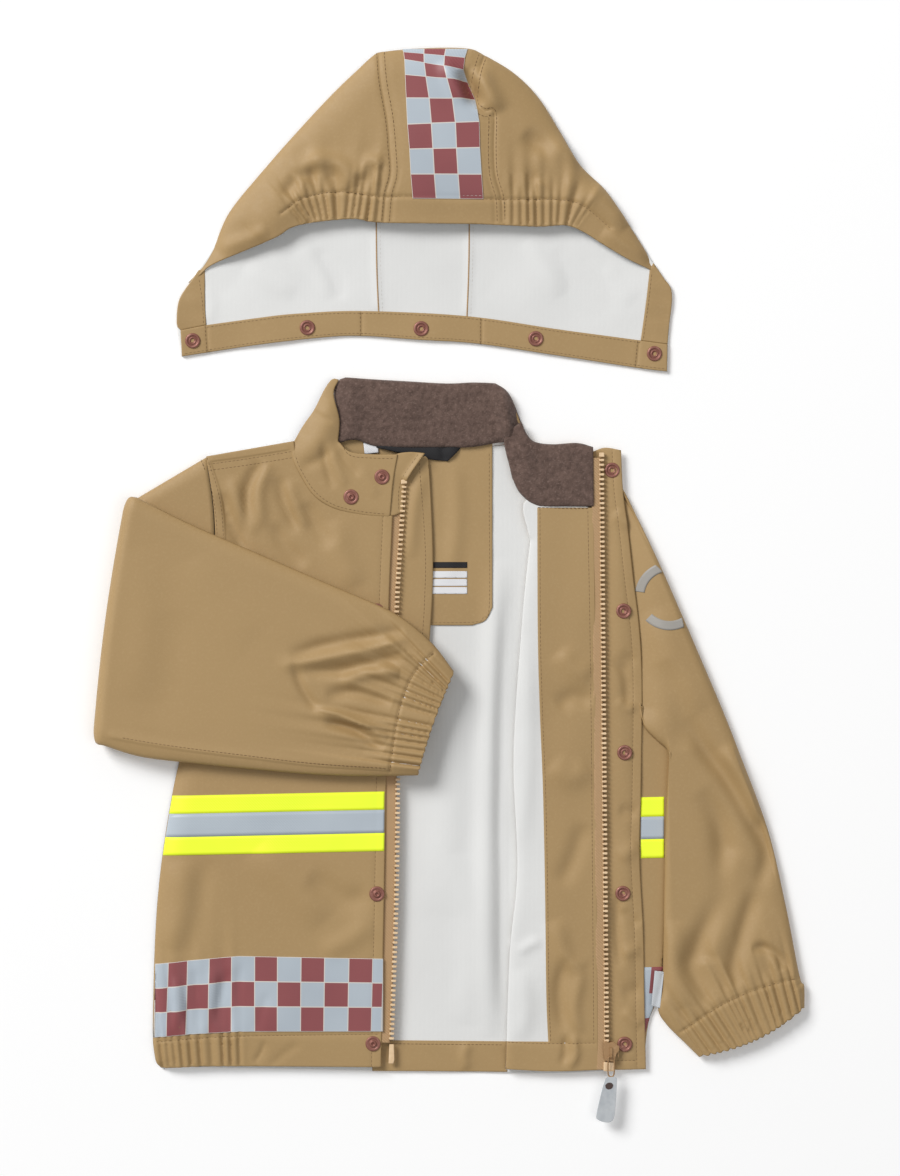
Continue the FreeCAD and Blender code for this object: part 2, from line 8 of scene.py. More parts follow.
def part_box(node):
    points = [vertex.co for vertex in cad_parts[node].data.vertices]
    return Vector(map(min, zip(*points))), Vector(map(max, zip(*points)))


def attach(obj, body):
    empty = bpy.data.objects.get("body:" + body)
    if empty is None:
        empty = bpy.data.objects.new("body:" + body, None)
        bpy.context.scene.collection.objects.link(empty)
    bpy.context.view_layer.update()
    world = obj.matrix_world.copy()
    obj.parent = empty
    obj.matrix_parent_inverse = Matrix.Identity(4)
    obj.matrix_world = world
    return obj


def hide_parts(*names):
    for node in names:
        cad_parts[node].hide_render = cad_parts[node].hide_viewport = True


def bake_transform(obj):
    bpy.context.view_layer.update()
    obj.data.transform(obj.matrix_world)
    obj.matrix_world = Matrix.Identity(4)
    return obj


# A child's turnout coat laid out flat, front up.  Shapes are drawn in millimetres in the frame's own
# axes (+X to the wearer's left, +Y to the hood, +Z up off the table) and built in metres.
MM = 0.001
FOLD_HEIGHT = 2.7            # every fold's height is multiplied by this
CHUNK = 1500                 # points measured against a line at one time
EDGE_RINGS = (0.35, 0.9, 1.8)               # rows of points inside every edge, for its roll
ROW_RINGS = (-1.3, -0.6, 0.0, 0.6, 1.3)     # rows of points along every sewn line, for its groove
STITCH, STITCH_GAP, THREAD_RADIUS = 2.5, 0.7, 0.26
TURN_STEPS = 40              # corners round a snap
TOOTH_PITCH = 3.745
MIX_A, MIX_B, MIX_RESULT = 6, 7, 2          # the colour sockets of a Mix node
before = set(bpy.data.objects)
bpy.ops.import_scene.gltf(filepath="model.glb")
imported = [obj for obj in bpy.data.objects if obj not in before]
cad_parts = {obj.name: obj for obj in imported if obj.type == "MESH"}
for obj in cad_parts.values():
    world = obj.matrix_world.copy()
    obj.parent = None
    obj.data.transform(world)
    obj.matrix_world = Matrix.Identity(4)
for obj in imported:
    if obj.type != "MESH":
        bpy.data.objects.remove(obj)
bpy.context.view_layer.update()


def level(node, side=1):
    """The top (or, with side 0, the underside) of a CAD node, in millimetres."""
    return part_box(node)[side][2] / MM


# ---- materials --------------------------------------------------------------------------------
def linear(red, green, blue):
    """A colour given as it looks on a screen, 0 to 255, as the shader wants it."""
    share = [c / 255.0 for c in (red, green, blue)]
    return tuple(c / 12.92 if c <= 0.04045 else ((c + 0.055) / 1.055) ** 2.4 for c in share) + (1.0,)


class Finish:
    """A procedural material, built up step by step on one Principled shader."""

    def __init__(self, name, colour, roughness, **sockets):
        self.material = bpy.data.materials.new(name)
        self.material.use_nodes = True
        self.tree = self.material.node_tree
        self.shader = self.tree.nodes["Principled BSDF"]
        self.shader.inputs["Base Color"].default_value = linear(*colour)
        self.shader.inputs["Roughness"].default_value = roughness
        for socket, value in sockets.items():
            self.shader.inputs[socket.replace("_", " ")].default_value = value
        self.place = self.tree.nodes.new("ShaderNodeTexCoord").outputs["Object"]
        self.colour = None
        self.bump = None

    def node(self, kind, **values):
        made = self.tree.nodes.new(kind)
        for key, value in values.items():
            if key in made.inputs:
                made.inputs[key].default_value = value
            else:
                setattr(made, key, value)
        return made

    def texture(self, kind, output, **values):
        made = self.node(kind, **values)
        self.tree.links.new(self.place, made.inputs["Vector"])
        return made.outputs[output]

    def noise(self, size, detail=3.0):
        """Noise whose blobs are about size metres across."""
        return self.texture("ShaderNodeTexNoise", "Fac", Scale=0.6 / size, Detail=detail)

    def cells(self, size):
        """Rounded cells that are size metres across."""
        return self.texture("ShaderNodeTexVoronoi", "Distance", Scale=1.0 / size, feature="SMOOTH_F1")

    def ribs(self, pitch, direction):
        """Ribs that repeat every pitch metres."""
        return self.texture("ShaderNodeTexWave", "Fac", Scale=0.314159 / pitch, bands_direction=direction)

    def maths(self, operation, a, b):
        made = self.node("ShaderNodeMath", operation=operation)
        for number, value in enumerate((a, b)):
            if isinstance(value, (int, float)):
                made.inputs[number].default_value = value
            else:
                self.tree.links.new(value, made.inputs[number])
        return made.outputs[0]

    def scaled(self, value, which, low, high):
        """Stretches a value from (or to) the range between low and high."""
        spread = self.node("ShaderNodeMapRange", **{f"{which} Min": low, f"{which} Max": high})
        self.tree.links.new(value, spread.inputs["Value"])
        return spread.outputs["Result"]

    def tint(self, factor, other, low=0.35, high=0.65):
        """Mixes towards another colour where the factor is high."""
        share = self.scaled(factor, "From", low, high)
        mix = self.node("ShaderNodeMix", data_type="RGBA")
        if self.colour is None:
            mix.inputs[MIX_A].default_value = self.shader.inputs["Base Color"].default_value
        else:
            self.tree.links.new(self.colour, mix.inputs[MIX_A])
        mix.inputs[MIX_B].default_value = linear(*other)
        self.tree.links.new(share, mix.inputs["Factor"])
        self.colour = mix.outputs[MIX_RESULT]
        self.tree.links.new(self.colour, self.shader.inputs["Base Color"])
        return self

    def relief(self, height, depth, strength=1.0):
        """Adds a bump that is depth metres high."""
        made = self.node("ShaderNodeBump", Strength=strength, Distance=depth)
        self.tree.links.new(height, made.inputs["Height"])
        if self.bump is not None:
            self.tree.links.new(self.bump, made.inputs["Normal"])
        self.bump = made.outputs["Normal"]
        self.tree.links.new(self.bump, self.shader.inputs["Normal"])
        return self

    def gloss(self, factor, smooth, rough):
        self.tree.links.new(self.scaled(factor, "To", smooth, rough), self.shader.inputs["Roughness"])
        return self


def coated_cloth():
    """Matte polyurethane coating: a fine pebble grain over a smooth knit."""
    made = Finish("coated_cloth", (172, 142, 96), 0.62)
    made.tint(made.noise(0.14, 2), (165, 135, 90), 0.3, 0.75)
    made.tint(made.noise(0.0012, 2), (178, 149, 104), 0.5, 1.1)
    made.relief(made.noise(0.012, 3), 0.00035, 0.5)
    made.relief(made.cells(0.0009), 0.00006, 0.5)
    return made.gloss(made.noise(0.004, 2), 0.54, 0.70).material


def white_knit():
    """The cloth's inner face: a fine warp knit, seen as tiny columns."""
    made = Finish("white_knit", (228, 228, 226), 0.9)
    made.tint(made.noise(0.09, 2), (218, 218, 216), 0.3, 0.8)
    loops = made.maths("MULTIPLY", made.ribs(0.0010, "X"), made.ribs(0.0008, "Y"))
    made.tint(loops, (236, 236, 235), 0.2, 1)
    made.relief(loops, 0.00012, 0.6)
    return made.relief(made.noise(0.010, 3), 0.0004, 0.4).material


def fleece():
    """Short brushed pile with a mottled brown-grey colour."""
    made = Finish("fleece", (105, 84, 75), 1.0)
    made.shader.inputs["Sheen Weight"].default_value = 0.12
    made.shader.inputs["Sheen Roughness"].default_value = 0.6
    made.tint(made.noise(0.0024, 4), (74, 56, 48), 0.35, 0.8)
    made.tint(made.noise(0.0009, 3), (136, 114, 104), 0.55, 0.9)
    made.relief(made.noise(0.0016, 5), 0.0008, 0.7)
    return made.relief(made.noise(0.0006, 2), 0.0005, 0.8).material


def film(name, colour, darker, brighter, roughness, painted_glow=0.0):
    """Bonded film: a fine cross-hatched print with a slightly pebbled face."""
    made = Finish(name, colour, roughness)
    made.tint(made.noise(0.03, 2), darker, 0.35, 0.85)
    hatch = made.maths("MAXIMUM", made.ribs(0.0011, "DIAGONAL"), made.ribs(0.0011, "Y"))
    made.tint(hatch, brighter, 0.75, 1.3)
    made.relief(made.cells(0.0007), 0.00004, 0.5)
    made.relief(made.noise(0.012, 3), 0.0003, 0.4)
    # Painted light: the glow is an emission in the film's own colour that brightens the film whatever the
    # lamps do, standing in for how bright its fluorescence looks.
    if painted_glow:
        made.shader.inputs["Emission Color"].default_value = linear(*colour)
        made.shader.inputs["Emission Strength"].default_value = painted_glow
    return made.material


def woven_tape(name, colour, thread, pitch):
    """A narrow woven tape: ribs across it and a twill along it."""
    made = Finish(name, colour, 0.8)
    weave = made.maths("MULTIPLY", made.ribs(pitch, "Y"), made.ribs(pitch * 1.3, "DIAGONAL"))
    made.tint(weave, thread, 0.15, 0.9)
    return made.relief(weave, 0.0002, 0.7).material


def moulded(name, colour, darker, roughness):
    """Moulded resin: faint flow marks and a satin face."""
    made = Finish(name, colour, roughness)
    made.tint(made.noise(0.004, 2), darker, 0.4, 0.8)
    return made.relief(made.noise(0.0008, 3), 0.00005, 0.5).material


def lacquered_metal(name, colour, worn, roughness):
    """Lacquered metal: an even satin coat, paler where it is rubbed."""
    made = Finish(name, colour, roughness, Metallic=0.35)
    made.tint(made.noise(0.0025, 4), worn, 0.55, 0.9)
    made.gloss(made.noise(0.0015, 3), roughness - 0.08, roughness + 0.12)
    return made.relief(made.noise(0.0005, 2), 0.00003, 0.5).material


TAN = coated_cloth()
WHITE = white_knit()
FLEECE = fleece()
# The lime film's last value is a painted glow: emission standing in for its fluorescent brightness.
LIME = film("film_lime", (236, 255, 28), (222, 244, 18), (246, 255, 96), 0.5, 0.12)
SILVER = film("film_silver", (178, 188, 197), (164, 174, 184), (196, 205, 212), 0.42)
RIM = film("film_rim", (214, 208, 200), (200, 192, 182), (224, 220, 214), 0.5)
PRINT = film("film_print", (160, 156, 150), (148, 142, 132), (172, 170, 166), 0.5)
RED = film("film_red", (141, 74, 76), (128, 64, 68), (160, 94, 96), 0.5)
TAPE = woven_tape("zip_tape", (186, 152, 112), (158, 124, 86), 0.0009)
DARK_TAPE = woven_tape("label_dark", (26, 25, 27), (48, 47, 50), 0.0008)
LABEL = woven_tape("label_cloth", (236, 236, 238), (214, 215, 220), 0.0007)
GREY_LABEL = woven_tape("label_grey", (204, 208, 212), (182, 187, 193), 0.0007)
ELASTIC = woven_tape("elastic", (204, 196, 184), (178, 168, 154), 0.0012)
RESIN = moulded("zip_resin", (236, 206, 166), (216, 182, 140), 0.42)
TAB = moulded("pull_tab", (190, 194, 197), (170, 175, 180), 0.5)
SLIDER = lacquered_metal("slider_metal", (168, 132, 92), (196, 164, 126), 0.42)
SNAP = lacquered_metal("snap_metal", (146, 96, 84), (190, 142, 126), 0.4)
# Painted shade: this dark material colours the pull tab's slot, standing in for the shadow seen through the
# opening; its paler patches are random.
PAINTED_SLOT_SHADE = lacquered_metal("dark_rivet", (78, 62, 58), (112, 92, 86), 0.45)
THREAD = moulded("thread", (116, 88, 56), (96, 70, 42), 0.7)
PALE_THREAD = moulded("pale_thread", (212, 208, 200), (190, 186, 178), 0.7)


# ---- lines and outlines -----------------------------------------------------------------------
def line(*points, step=2.0):
    """A smooth line through the points, sampled about every step millimetres."""
    p = np.array(points, float)
    if len(p) == 2:
        count = max(1, round(math.dist(*points) / step))
        return p[0] + (p[1] - p[0]) * np.linspace(0, 1, count + 1)[:, None]
    ends = np.vstack([2 * p[0] - p[1], p, 2 * p[-1] - p[-2]])
    out = []
    for a, b, c, d in zip(ends, ends[1:], ends[2:], ends[3:]):
        count = max(1, round(np.linalg.norm(c - b) / step))
        t = (np.arange(count) / count)[:, None]
        out.append(0.5 * (2 * b + (c - a) * t + (2 * a - 5 * b + 4 * c - d) * t ** 2
                          + (3 * b - a - 3 * c + d) * t ** 3))
    return np.vstack(out + [p[-1:]])


def straight(*corners):
    """Runs for an outline that goes straight from corner to corner."""
    return [[one, other] for one, other in zip(corners, corners[1:])]


def loop(*runs):
    """A closed outline from runs of points, each run smooth and each join a corner."""
    pieces = []
    for run, following in zip(runs, runs[1:] + runs[:1]):
        piece = run if isinstance(run, np.ndarray) else line(*run)
        pieces.append(piece)
        if np.linalg.norm(np.array(following[0]) - piece[-1]) > 2.5:
            pieces.append(line(tuple(piece[-1]), tuple(following[0]))[1:-1])
    points = np.vstack(pieces)
    keep = np.linalg.norm(points - np.roll(points, 1, axis=0), axis=1) > 0.3
    points = points[keep]
    x, y = points.T
    area = np.dot(x, np.roll(y, -1)) - np.dot(y, np.roll(x, -1))
    return points if area > 0 else points[::-1]


def measure(points, path):
    """For each point: its distance to a line, how far along the nearest place is, and its side."""
    a, b = path[:-1], path[1:]
    ab = b - a
    length = np.maximum(np.linalg.norm(ab, axis=1), 1e-9)
    start = np.concatenate([[0], np.cumsum(length)[:-1]])
    distance, along, side = (np.empty(len(points)) for _ in range(3))
    for low in range(0, len(points), CHUNK):
        part = slice(low, low + CHUNK)
        chunk = points[part]
        ap = chunk[:, None] - a
        t = np.clip((ap * ab).sum(2) / length ** 2, 0, 1)
        gap = ap - t[..., None] * ab
        d = np.linalg.norm(gap, axis=2)
        k = d.argmin(1)
        row = np.arange(len(chunk))
        cross = ab[k, 0] * ap[row, k, 1] - ab[k, 1] * ap[row, k, 0]
        distance[part] = d[row, k]
        along[part] = start[k] + t[row, k] * length[k]
        side[part] = np.where(cross >= 0, 1.0, -1)
    return distance, along, side


def total(path):
    """The length of a line."""
    return float(np.linalg.norm(np.diff(path, axis=0), axis=1).sum())


def running(path):
    """The length of a line up to each of its points."""
    return np.concatenate([[0], np.cumsum(np.linalg.norm(np.diff(path, axis=0), axis=1))])


def at(path, distance):
    """The places at these distances along a line."""
    far = running(path)
    return np.column_stack([np.interp(distance, far, path[:, k]) for k in (0, 1)])


def shares(path, fractions):
    """The places at these fractions of a line's length."""
    return at(path, fractions * running(path)[-1])


def shifted(path, offset):
    """The line moved to its left by offset."""
    step = np.gradient(path, axis=0)
    step /= np.maximum(np.linalg.norm(step, axis=1), 1e-9)[:, None]
    return path + offset * np.column_stack([-step[:, 1], step[:, 0]])


def inside(points, outline):
    """Which points are within a closed outline."""
    x, y = points.T
    hit = np.zeros(len(points), bool)
    for (x0, y0), (x1, y1) in zip(outline, np.roll(outline, -1, axis=0)):
        crosses = (y0 > y) != (y1 > y)
        if y0 != y1:
            hit ^= crosses & (x < (x1 - x0) * (y - y0) / (y1 - y0) + x0)
    return hit


# ---- the lie of the cloth ---------------------------------------------------------------------
def wander(values, wave, seed):
    """A smooth random line between -1 and 1."""
    random = np.random.default_rng(seed)
    out = 0
    for octave in range(3):
        phase = random.uniform(0, 2 * np.pi)
        out = out + np.sin(2 * np.pi * values * (1 + 0.77 * octave) / wave + phase) / (1 + octave)
    return out / 1.83


class Lie:
    """Heights of a layer of cloth: a base and whatever is added to it."""

    def __init__(self, base):
        self.terms = [base if callable(base) else (lambda p: np.full(len(p), float(base)))]

    def __call__(self, points):
        return sum(term(points) for term in self.terms)

    def add(self, term):
        self.terms.append(term)
        return self

    def fold(self, width, height, *points, fade=0.3, sharp=False):
        """A ridge, or a valley if height is negative, that fades over a share of its length at each end."""
        path = line(*points)
        length = total(path)

        def term(p):
            d, s, _ = measure(p, path)
            across = np.maximum(0, 1 - d / (1.6 * width)) ** 1.5 if sharp else np.exp(-(d / width) ** 2)
            ends = np.clip(np.minimum(s, length - s) / (fade * length), 0, 1)
            return FOLD_HEIGHT * height * across * (ends * (2 - ends))
        return self.add(term)

    def crease(self, width, height, *points, fade=0.3):
        """A fold with a sharp line instead of a round one."""
        return self.fold(width, height, *points, fade=fade, sharp=True)

    def slope(self, path, reach, drop):
        """The cloth falls towards a line, as it does at a folded side."""
        def term(p):
            d, _, _ = measure(p, path)
            return -drop * np.exp(-(d / reach) ** 1.25)
        return self.add(term)

    def gathers(self, path, wave, height, channel, reach, seed, span=None):
        """Puckers along an elastic: even in its channel, merging and fading beyond it."""
        length = total(path)
        low, high = span or (0, length)

        def term(p):
            d, s, side = measure(p, path)
            t = d * side
            u = s / wave + 0.55 * wander(s, 9 * wave, seed)
            size = 0.8 + 0.35 * wander(s, 4.3 * wave, seed + 1)
            fine = np.abs(np.sin(np.pi * u)) ** 0.8 - 0.6
            broad = np.sin(2 * np.pi * (u / 2.6 + 0.2 * wander(s, 7 * wave, seed + 2)))
            in_channel = np.where(t < -channel, 0.9, 1.25)
            beyond = np.exp(-np.maximum(t, 0) / (0.42 * reach))
            farther = np.exp(-(np.maximum(t, 0) / reach) ** 2) * np.clip(t / (0.4 * reach), 0, 1)
            ends = np.clip((s - low) / 8, 0, 1) * np.clip((high - s) / 8, 0, 1)
            return height * size * ends * (fine * np.where(t > 0, beyond,
                                                           in_channel) + 0.7 * broad * farther)
        return self.add(term)

    def swell(self, height, wave, seed):
        """Slow unevenness, so that no stretch of cloth is dead flat."""
        random = np.random.default_rng(seed)
        waves = []
        for _ in range(7):
            angle, phase = random.uniform(0, np.pi), random.uniform(0, 2 * np.pi)
            size = wave * random.uniform(0.6, 1.7)
            waves.append((math.cos(angle) / size, math.sin(angle) / size, phase))

        def term(p):
            return height * sum(np.sin(2 * np.pi * (kx * p[:, 0] + ky * p[:, 1]) + phase)
                                for kx, ky, phase in waves) / 4
        return self.add(term)

    def raised(self, height):
        """The same lie, higher up; more can be added to it."""
        return Lie(lambda p: self(p) + height)


# ---- pieces -----------------------------------------------------------------------------------
def piece(name, vertices, faces, materials, body, slot, choice=None, smooth=True):
    """A mesh object, given in millimetres, that rides on a body."""
    mesh = bpy.data.meshes.new(name)
    mesh.from_pydata([tuple(v) for v in np.asarray(vertices) * MM], [], faces)
    for material in materials:
        mesh.materials.append(material)
    if choice is not None:
        mesh.polygons.foreach_set("material_index", choice)
    mesh.polygons.foreach_set("use_smooth", [smooth] * len(mesh.polygons))
    mesh.update()
    made = bpy.data.objects.new(name, mesh)
    bpy.context.collection.objects.link(made)
    if body:
        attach(made, body)
    return made


def spread(outline, spacing, rows=(), dense=()):
    """A triangulated outline: points, triangles, and each point's distance to the edge."""
    fixed = [outline]
    for depth in EDGE_RINGS:
        fixed.append(shifted(np.vstack([outline, outline[:1]]), depth)[:-1])
    for path in rows:
        for offset in ROW_RINGS:
            fixed.append(shifted(path, offset))
    low, high = outline.min(0), outline.max(0)

    def hexes(size):
        across = np.arange(low[0], high[0], size)
        up = np.arange(low[1], high[1], size * 0.866)
        gx, gy = np.meshgrid(across, up)
        gx = gx + 0.5 * size * (np.arange(len(up)) % 2)[:, None]
        return np.column_stack([gx.ravel(), gy.ravel()])

    fields = []
    coarse = hexes(spacing)
    for path, reach, size in dense:
        fine = hexes(size)
        fields.append(fine[measure(fine, path)[0] < reach])
        coarse = coarse[measure(coarse, path)[0] >= reach]
    fields.append(coarse)
    closed = np.vstack([outline, outline[:1]])
    kept = [tuple(q) for q in outline]
    taken = {(round(x / 0.35), round(y / 0.35)) for x, y in kept}
    for ring in fixed[1:]:
        ring = ring[inside(ring, outline)]
        if not len(ring):
            continue
        for (x, y), d in zip(ring, measure(ring, closed)[0]):
            key = (round(x / 0.35), round(y / 0.35))
            if d > 0.25 and key not in taken:
                taken.add(key)
                kept.append((x, y))
    tree = kdtree.KDTree(len(kept))
    for number, (x, y) in enumerate(kept):
        tree.insert((x, y, 0), number)
    tree.balance()
    for number, field in enumerate(fields):
        size = dense[number][2] if number < len(dense) else spacing
        field = field[inside(field, outline)]
        for x, y in field:
            if tree.find((x, y, 0))[2] > 0.55 * size:
                kept.append((x, y))
    found = delaunay_2d_cdt([Vector(q) for q in kept], [], [list(range(len(outline)))], 1, 1e-5)
    points = np.array([tuple(q) for q in found[0]])
    faces = [tuple(f) for f in found[2]]
    return points, faces, measure(points, closed)[0]


def cloth(name, outline, top, body, slot="coated_cloth", thick=1.2, faces=(TAN, WHITE), spacing=3.2,
          rows=(), dense=(), replaces=(), edge=0.9):
    """A sheet of cloth with a rolled edge: two faces, one outline, lying as top says."""
    points, triangles, inward = spread(outline, spacing, rows, dense)
    height = np.maximum(top(points), thick + 0.05)
    roll = np.clip(1 - inward / edge, 0, 1)
    turned = 0.5 * thick * (1 - np.sqrt(1 - roll ** 2))
    at_edge = inward < 1e-4
    high = np.where(at_edge, height - 0.5 * thick, height - turned)
    low = height - thick + turned
    count = len(points)
    vertices = [np.column_stack([points, high])]
    below = np.arange(count)
    inner = np.flatnonzero(~at_edge)
    below[inner] = count + np.arange(len(inner))
    vertices.append(np.column_stack([points[inner], low[inner]]))
    shapes = list(triangles) + [(below[c], below[b], below[a]) for a, b, c in triangles]
    shapes = [tuple(int(i) for i in s) for s in shapes]
    choice = [0] * len(triangles) + [1] * len(triangles)
    made = piece(name, np.vstack(vertices), shapes, faces, body, slot, choice)
    if replaces:
        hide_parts(*replaces)
    return made


threads = {}


def stitches(path, top, body, material=THREAD):
    """A row of lockstitches: short rounded threads that lie in the cloth."""
    run = total(path)
    ends = np.linspace(0, run, max(2, round(run / (STITCH + STITCH_GAP))) + 1)
    first, last = at(path, ends[:-1] + 0.5 * STITCH_GAP), at(path, ends[1:] - 0.5 * STITCH_GAP)
    middle = 0.5 * (first + last)
    store = threads.setdefault((body, material.name), [[], [], material])
    heights = [top(q) for q in (first, middle, last)]
    direction = (last - first) / np.maximum(np.linalg.norm(last - first, axis=1), 1e-9)[:, None]
    across = np.column_stack([-direction[:, 1], direction[:, 0]])
    sizes = (0.35, 1.0, 0.35)
    for number in range(len(first)):
        base = len(store[0])
        for q, h, size in zip((first, middle, last), heights, sizes):
            centre = np.array([*q[number], h[number] - 0.05])
            side = np.array([*across[number], 0.0]) * THREAD_RADIUS * size
            up = np.array([0, 0, 1.1 * THREAD_RADIUS * size])
            store[0] += [centre + side, centre + up, centre - side, centre - up]
        for ring in (base, base + 4):
            for k in range(4):
                store[1].append((ring + k, ring + (k + 1) % 4, ring + 4 + (k + 1) % 4, ring + 4 + k))
        store[1] += [(base + 3, base + 2, base + 1, base), (base + 8, base + 9, base + 10, base + 11)]


def sew_everything():
    """One mesh for all the stitches of a body in one thread."""
    for (body, _), (vertices, faces, material) in threads.items():
        piece(f"stitching_{body}_{material.name}", vertices, faces, (material,), body, "coated_cloth")


def lathed(profile, centre, base):
    """Turns a profile of (radius, height) about an upright axis: vertices and faces."""
    count = TURN_STEPS
    angles = np.linspace(0, 2 * np.pi, count, endpoint=False)
    rings = [np.column_stack([centre[0] + r * np.cos(angles), centre[1] + r * np.sin(angles),
                              np.full(count, base + z)]) for r, z in profile]
    faces = []
    for ring in range(len(profile) - 1):
        for k in range(count):
            a, b = ring * count + k, ring * count + (k + 1) % count
            faces.append((a, b, b + count, a + count))
    faces.append(tuple(range(count))[::-1])
    faces.append(tuple((len(profile) - 1) * count + k for k in range(count)))
    return np.vstack(rings), faces


def joined(shapes):
    """One mesh from several (vertices, faces)."""
    vertices, faces = [], []
    for v, f in shapes:
        base = sum(len(x) for x in vertices)
        vertices.append(np.asarray(v))
        faces += [tuple(base + i for i in face) for face in f]
    return np.vstack(vertices), faces


SOCKET = [(3.2, 0), (5.7, 0), (5.95, 0.35), (5.9, 0.9), (5.5, 1.35), (4.9, 1.55), (4.2, 1.4), (3.75, 0.9),
          (3.55, 0.55), (3, 0.5), (2.85, 0.95), (2.5, 1.2), (2, 1.1), (1.75, 0.6), (1.6, 0.25), (0.6, 0.2)]
STUD = [(3.2, 0), (5.7, 0), (5.95, 0.3), (5.85, 0.75), (5.4, 1.1), (4.7, 1.2), (4.1, 1), (3.6, 0.7),
        (2.9, 0.7), (2.6, 1.1), (2.5, 1.9), (2.1, 2.3), (1.4, 2.35), (1.1, 1.9), (0.9, 1.2), (0.4, 1.1)]


def snaps(name, places, top, body, profile, node):
    """Ring snaps set in the cloth."""
    heights = top(np.array(places, float))
    shapes = [lathed(profile, xy, z - 0.25) for xy, z in zip(places, heights)]
    made = piece(name, *joined(shapes), (SNAP,), body, "snap_metal")
    if node:
        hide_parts(node)
    return made


def teeth(name, path, top, body, hook):
    """One half of a moulded zip: a row of teeth on a bead, each with a waisted head."""
    run = total(path)
    outline = [(-1.9, 0.62), (-1.2, 0.92), (0.3, 0.92), (0.9, 0.66), (1.5, 0.95), (2, 0.62), (2, -0.62),
               (1.5, -0.95), (0.9, -0.66), (0.3, -0.92), (-1.2, -0.92), (-1.9, -0.62)]
    layers = [(0.86, -1.5), (1, -1.15), (1, 1.15), (0.86, 1.5)]
    shapes = []
    for s in np.arange(0.5 * TOOTH_PITCH, run, TOOTH_PITCH):
        back, here, ahead = at(path, [max(s - 1, 0), s, min(s + 1, run)])
        v = (ahead - back) / np.linalg.norm(ahead - back)
        across = hook * np.array([v[1], -v[0]])
        z = float(top(here[None])[0])
        rings = [[*(here + share * (x * across + y * v)), z + dz] for share, dz in layers for x,
                 y in outline]
        n = len(outline)
        faces = [(r * n + k, r * n + (k + 1) % n, (r + 1) * n + (k + 1) % n, (r + 1) * n + k)
                 for r in range(len(layers) - 1) for k in range(n)]
        faces += [tuple(range(n))[::-1], tuple((len(layers) - 1) * n + k for k in range(n))]
        if hook > 0:
            faces = [f[::-1] for f in faces]
        shapes.append((rings, faces))
    made = piece(name, *joined(shapes), (RESIN,), body, "zip_resin", smooth=False)
    bevel = made.modifiers.new("soft_edges", "BEVEL")
    bevel.width = 0.00018
    bevel.segments = 2
    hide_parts(name)
    return made


def tube(path3, radius, count=10):
    """A round cord along points in space: vertices and faces."""
    path3 = np.asarray(path3, float)
    tangent = np.gradient(path3, axis=0)
    tangent /= np.linalg.norm(tangent, axis=1)[:, None]
    up = np.array([0.0, 0.0, 1.0])
    rings = []
    for q, t in zip(path3, tangent):
        side = np.cross(t, up)
        side = side / np.linalg.norm(side) if np.linalg.norm(side) > 1e-3 else np.array([1.0, 0, 0])
        other = np.cross(side, t)
        for k in range(count):
            a = 2 * np.pi * k / count
            rings.append(q + radius * (math.cos(a) * side + math.sin(a) * other))
    faces = []
    for ring in range(len(path3) - 1):
        for k in range(count):
            a, b = ring * count + k, ring * count + (k + 1) % count
            faces.append((a, a + count, b + count, b))
    faces += [tuple(range(count)), tuple((len(path3) - 1) * count + k for k in range(count))[::-1]]
    return np.array(rings), faces


def flat_tube(name, base, turn, body, outward=(0, 0), axis=0.0, middle=4.7, half=4.7, edge=12.0, top=None,
              faces=(TAN, WHITE), slot="coated_cloth", thick=1.2, replaces=()):
    """A sleeve lying flat.  base holds places, station by station and across each one, and turn is the
    angle through which a station has gone round the fold: 0 lies face down, pi lies face up."""
    stations, across = base.shape[:2]
    width = np.linalg.norm(np.diff(base, axis=1), axis=2)
    far = np.concatenate([np.zeros((stations, 1)), np.cumsum(width, axis=1)], axis=1)
    inward = np.minimum(far, far[:, -1:] - far)
    bulge = half * np.sqrt(1 - (1 - np.minimum(inward / edge, 1)) ** 2)
    rings = []
    for sign in (1, -1):
        radius = middle + sign * bulge
        shift = 0.82 * radius * np.sin(turn)[:, None]
        place = base + shift[..., None] * np.array(outward, float)
        z = axis - radius * np.cos(turn)[:, None]
        if top and sign > 0:
            lift = top(place.reshape(-1, 2)).reshape(z.shape)
            z = z + lift * np.clip(inward / 5, 0, 1) * np.clip(-np.cos(turn), 0, 1)[:, None]
        layer = np.dstack([place, z[..., None]])
        rings.append(layer if sign > 0 else layer[:, -2:0:-1])
    ring = np.concatenate(rings, axis=1)
    count = ring.shape[1]
    shapes = [(k * count + i, k * count + (i + 1) % count, (k + 1) * count + (i + 1) % count,
               (k + 1) * count + i) for k in range(stations - 1) for i in range(count)]
    made = piece(name, ring.reshape(-1, 3), shapes, faces, body, slot)
    wall = made.modifiers.new("cloth", "SOLIDIFY")
    wall.thickness = thick * MM
    wall.offset = -1
    wall.material_offset = 1
    wall.material_offset_rim = 0
    if replaces:
        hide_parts(*replaces)
    return made


def cuffwards(count, coarse, share=0.24):
    """Fractions along a sleeve of which a large part falls in its last stretch, where it is gathered."""
    first = np.linspace(0, 1 - share, coarse, endpoint=False)
    return np.concatenate([first, np.linspace(1 - share, 1, count - coarse)])


def across_steps(count):
    """Fractions across a tube, closer together at its two edges."""
    t = np.linspace(0, 1, count)
    return t - 0.06 * np.sin(2 * np.pi * t)


def between(one, other, fractions, across_count):
    """Places between two edges of a sleeve."""
    a, b = shares(one, fractions), shares(other, fractions)
    t = across_steps(across_count)[None, :, None]
    return a[:, None] * (1 - t) + b[:, None] * t


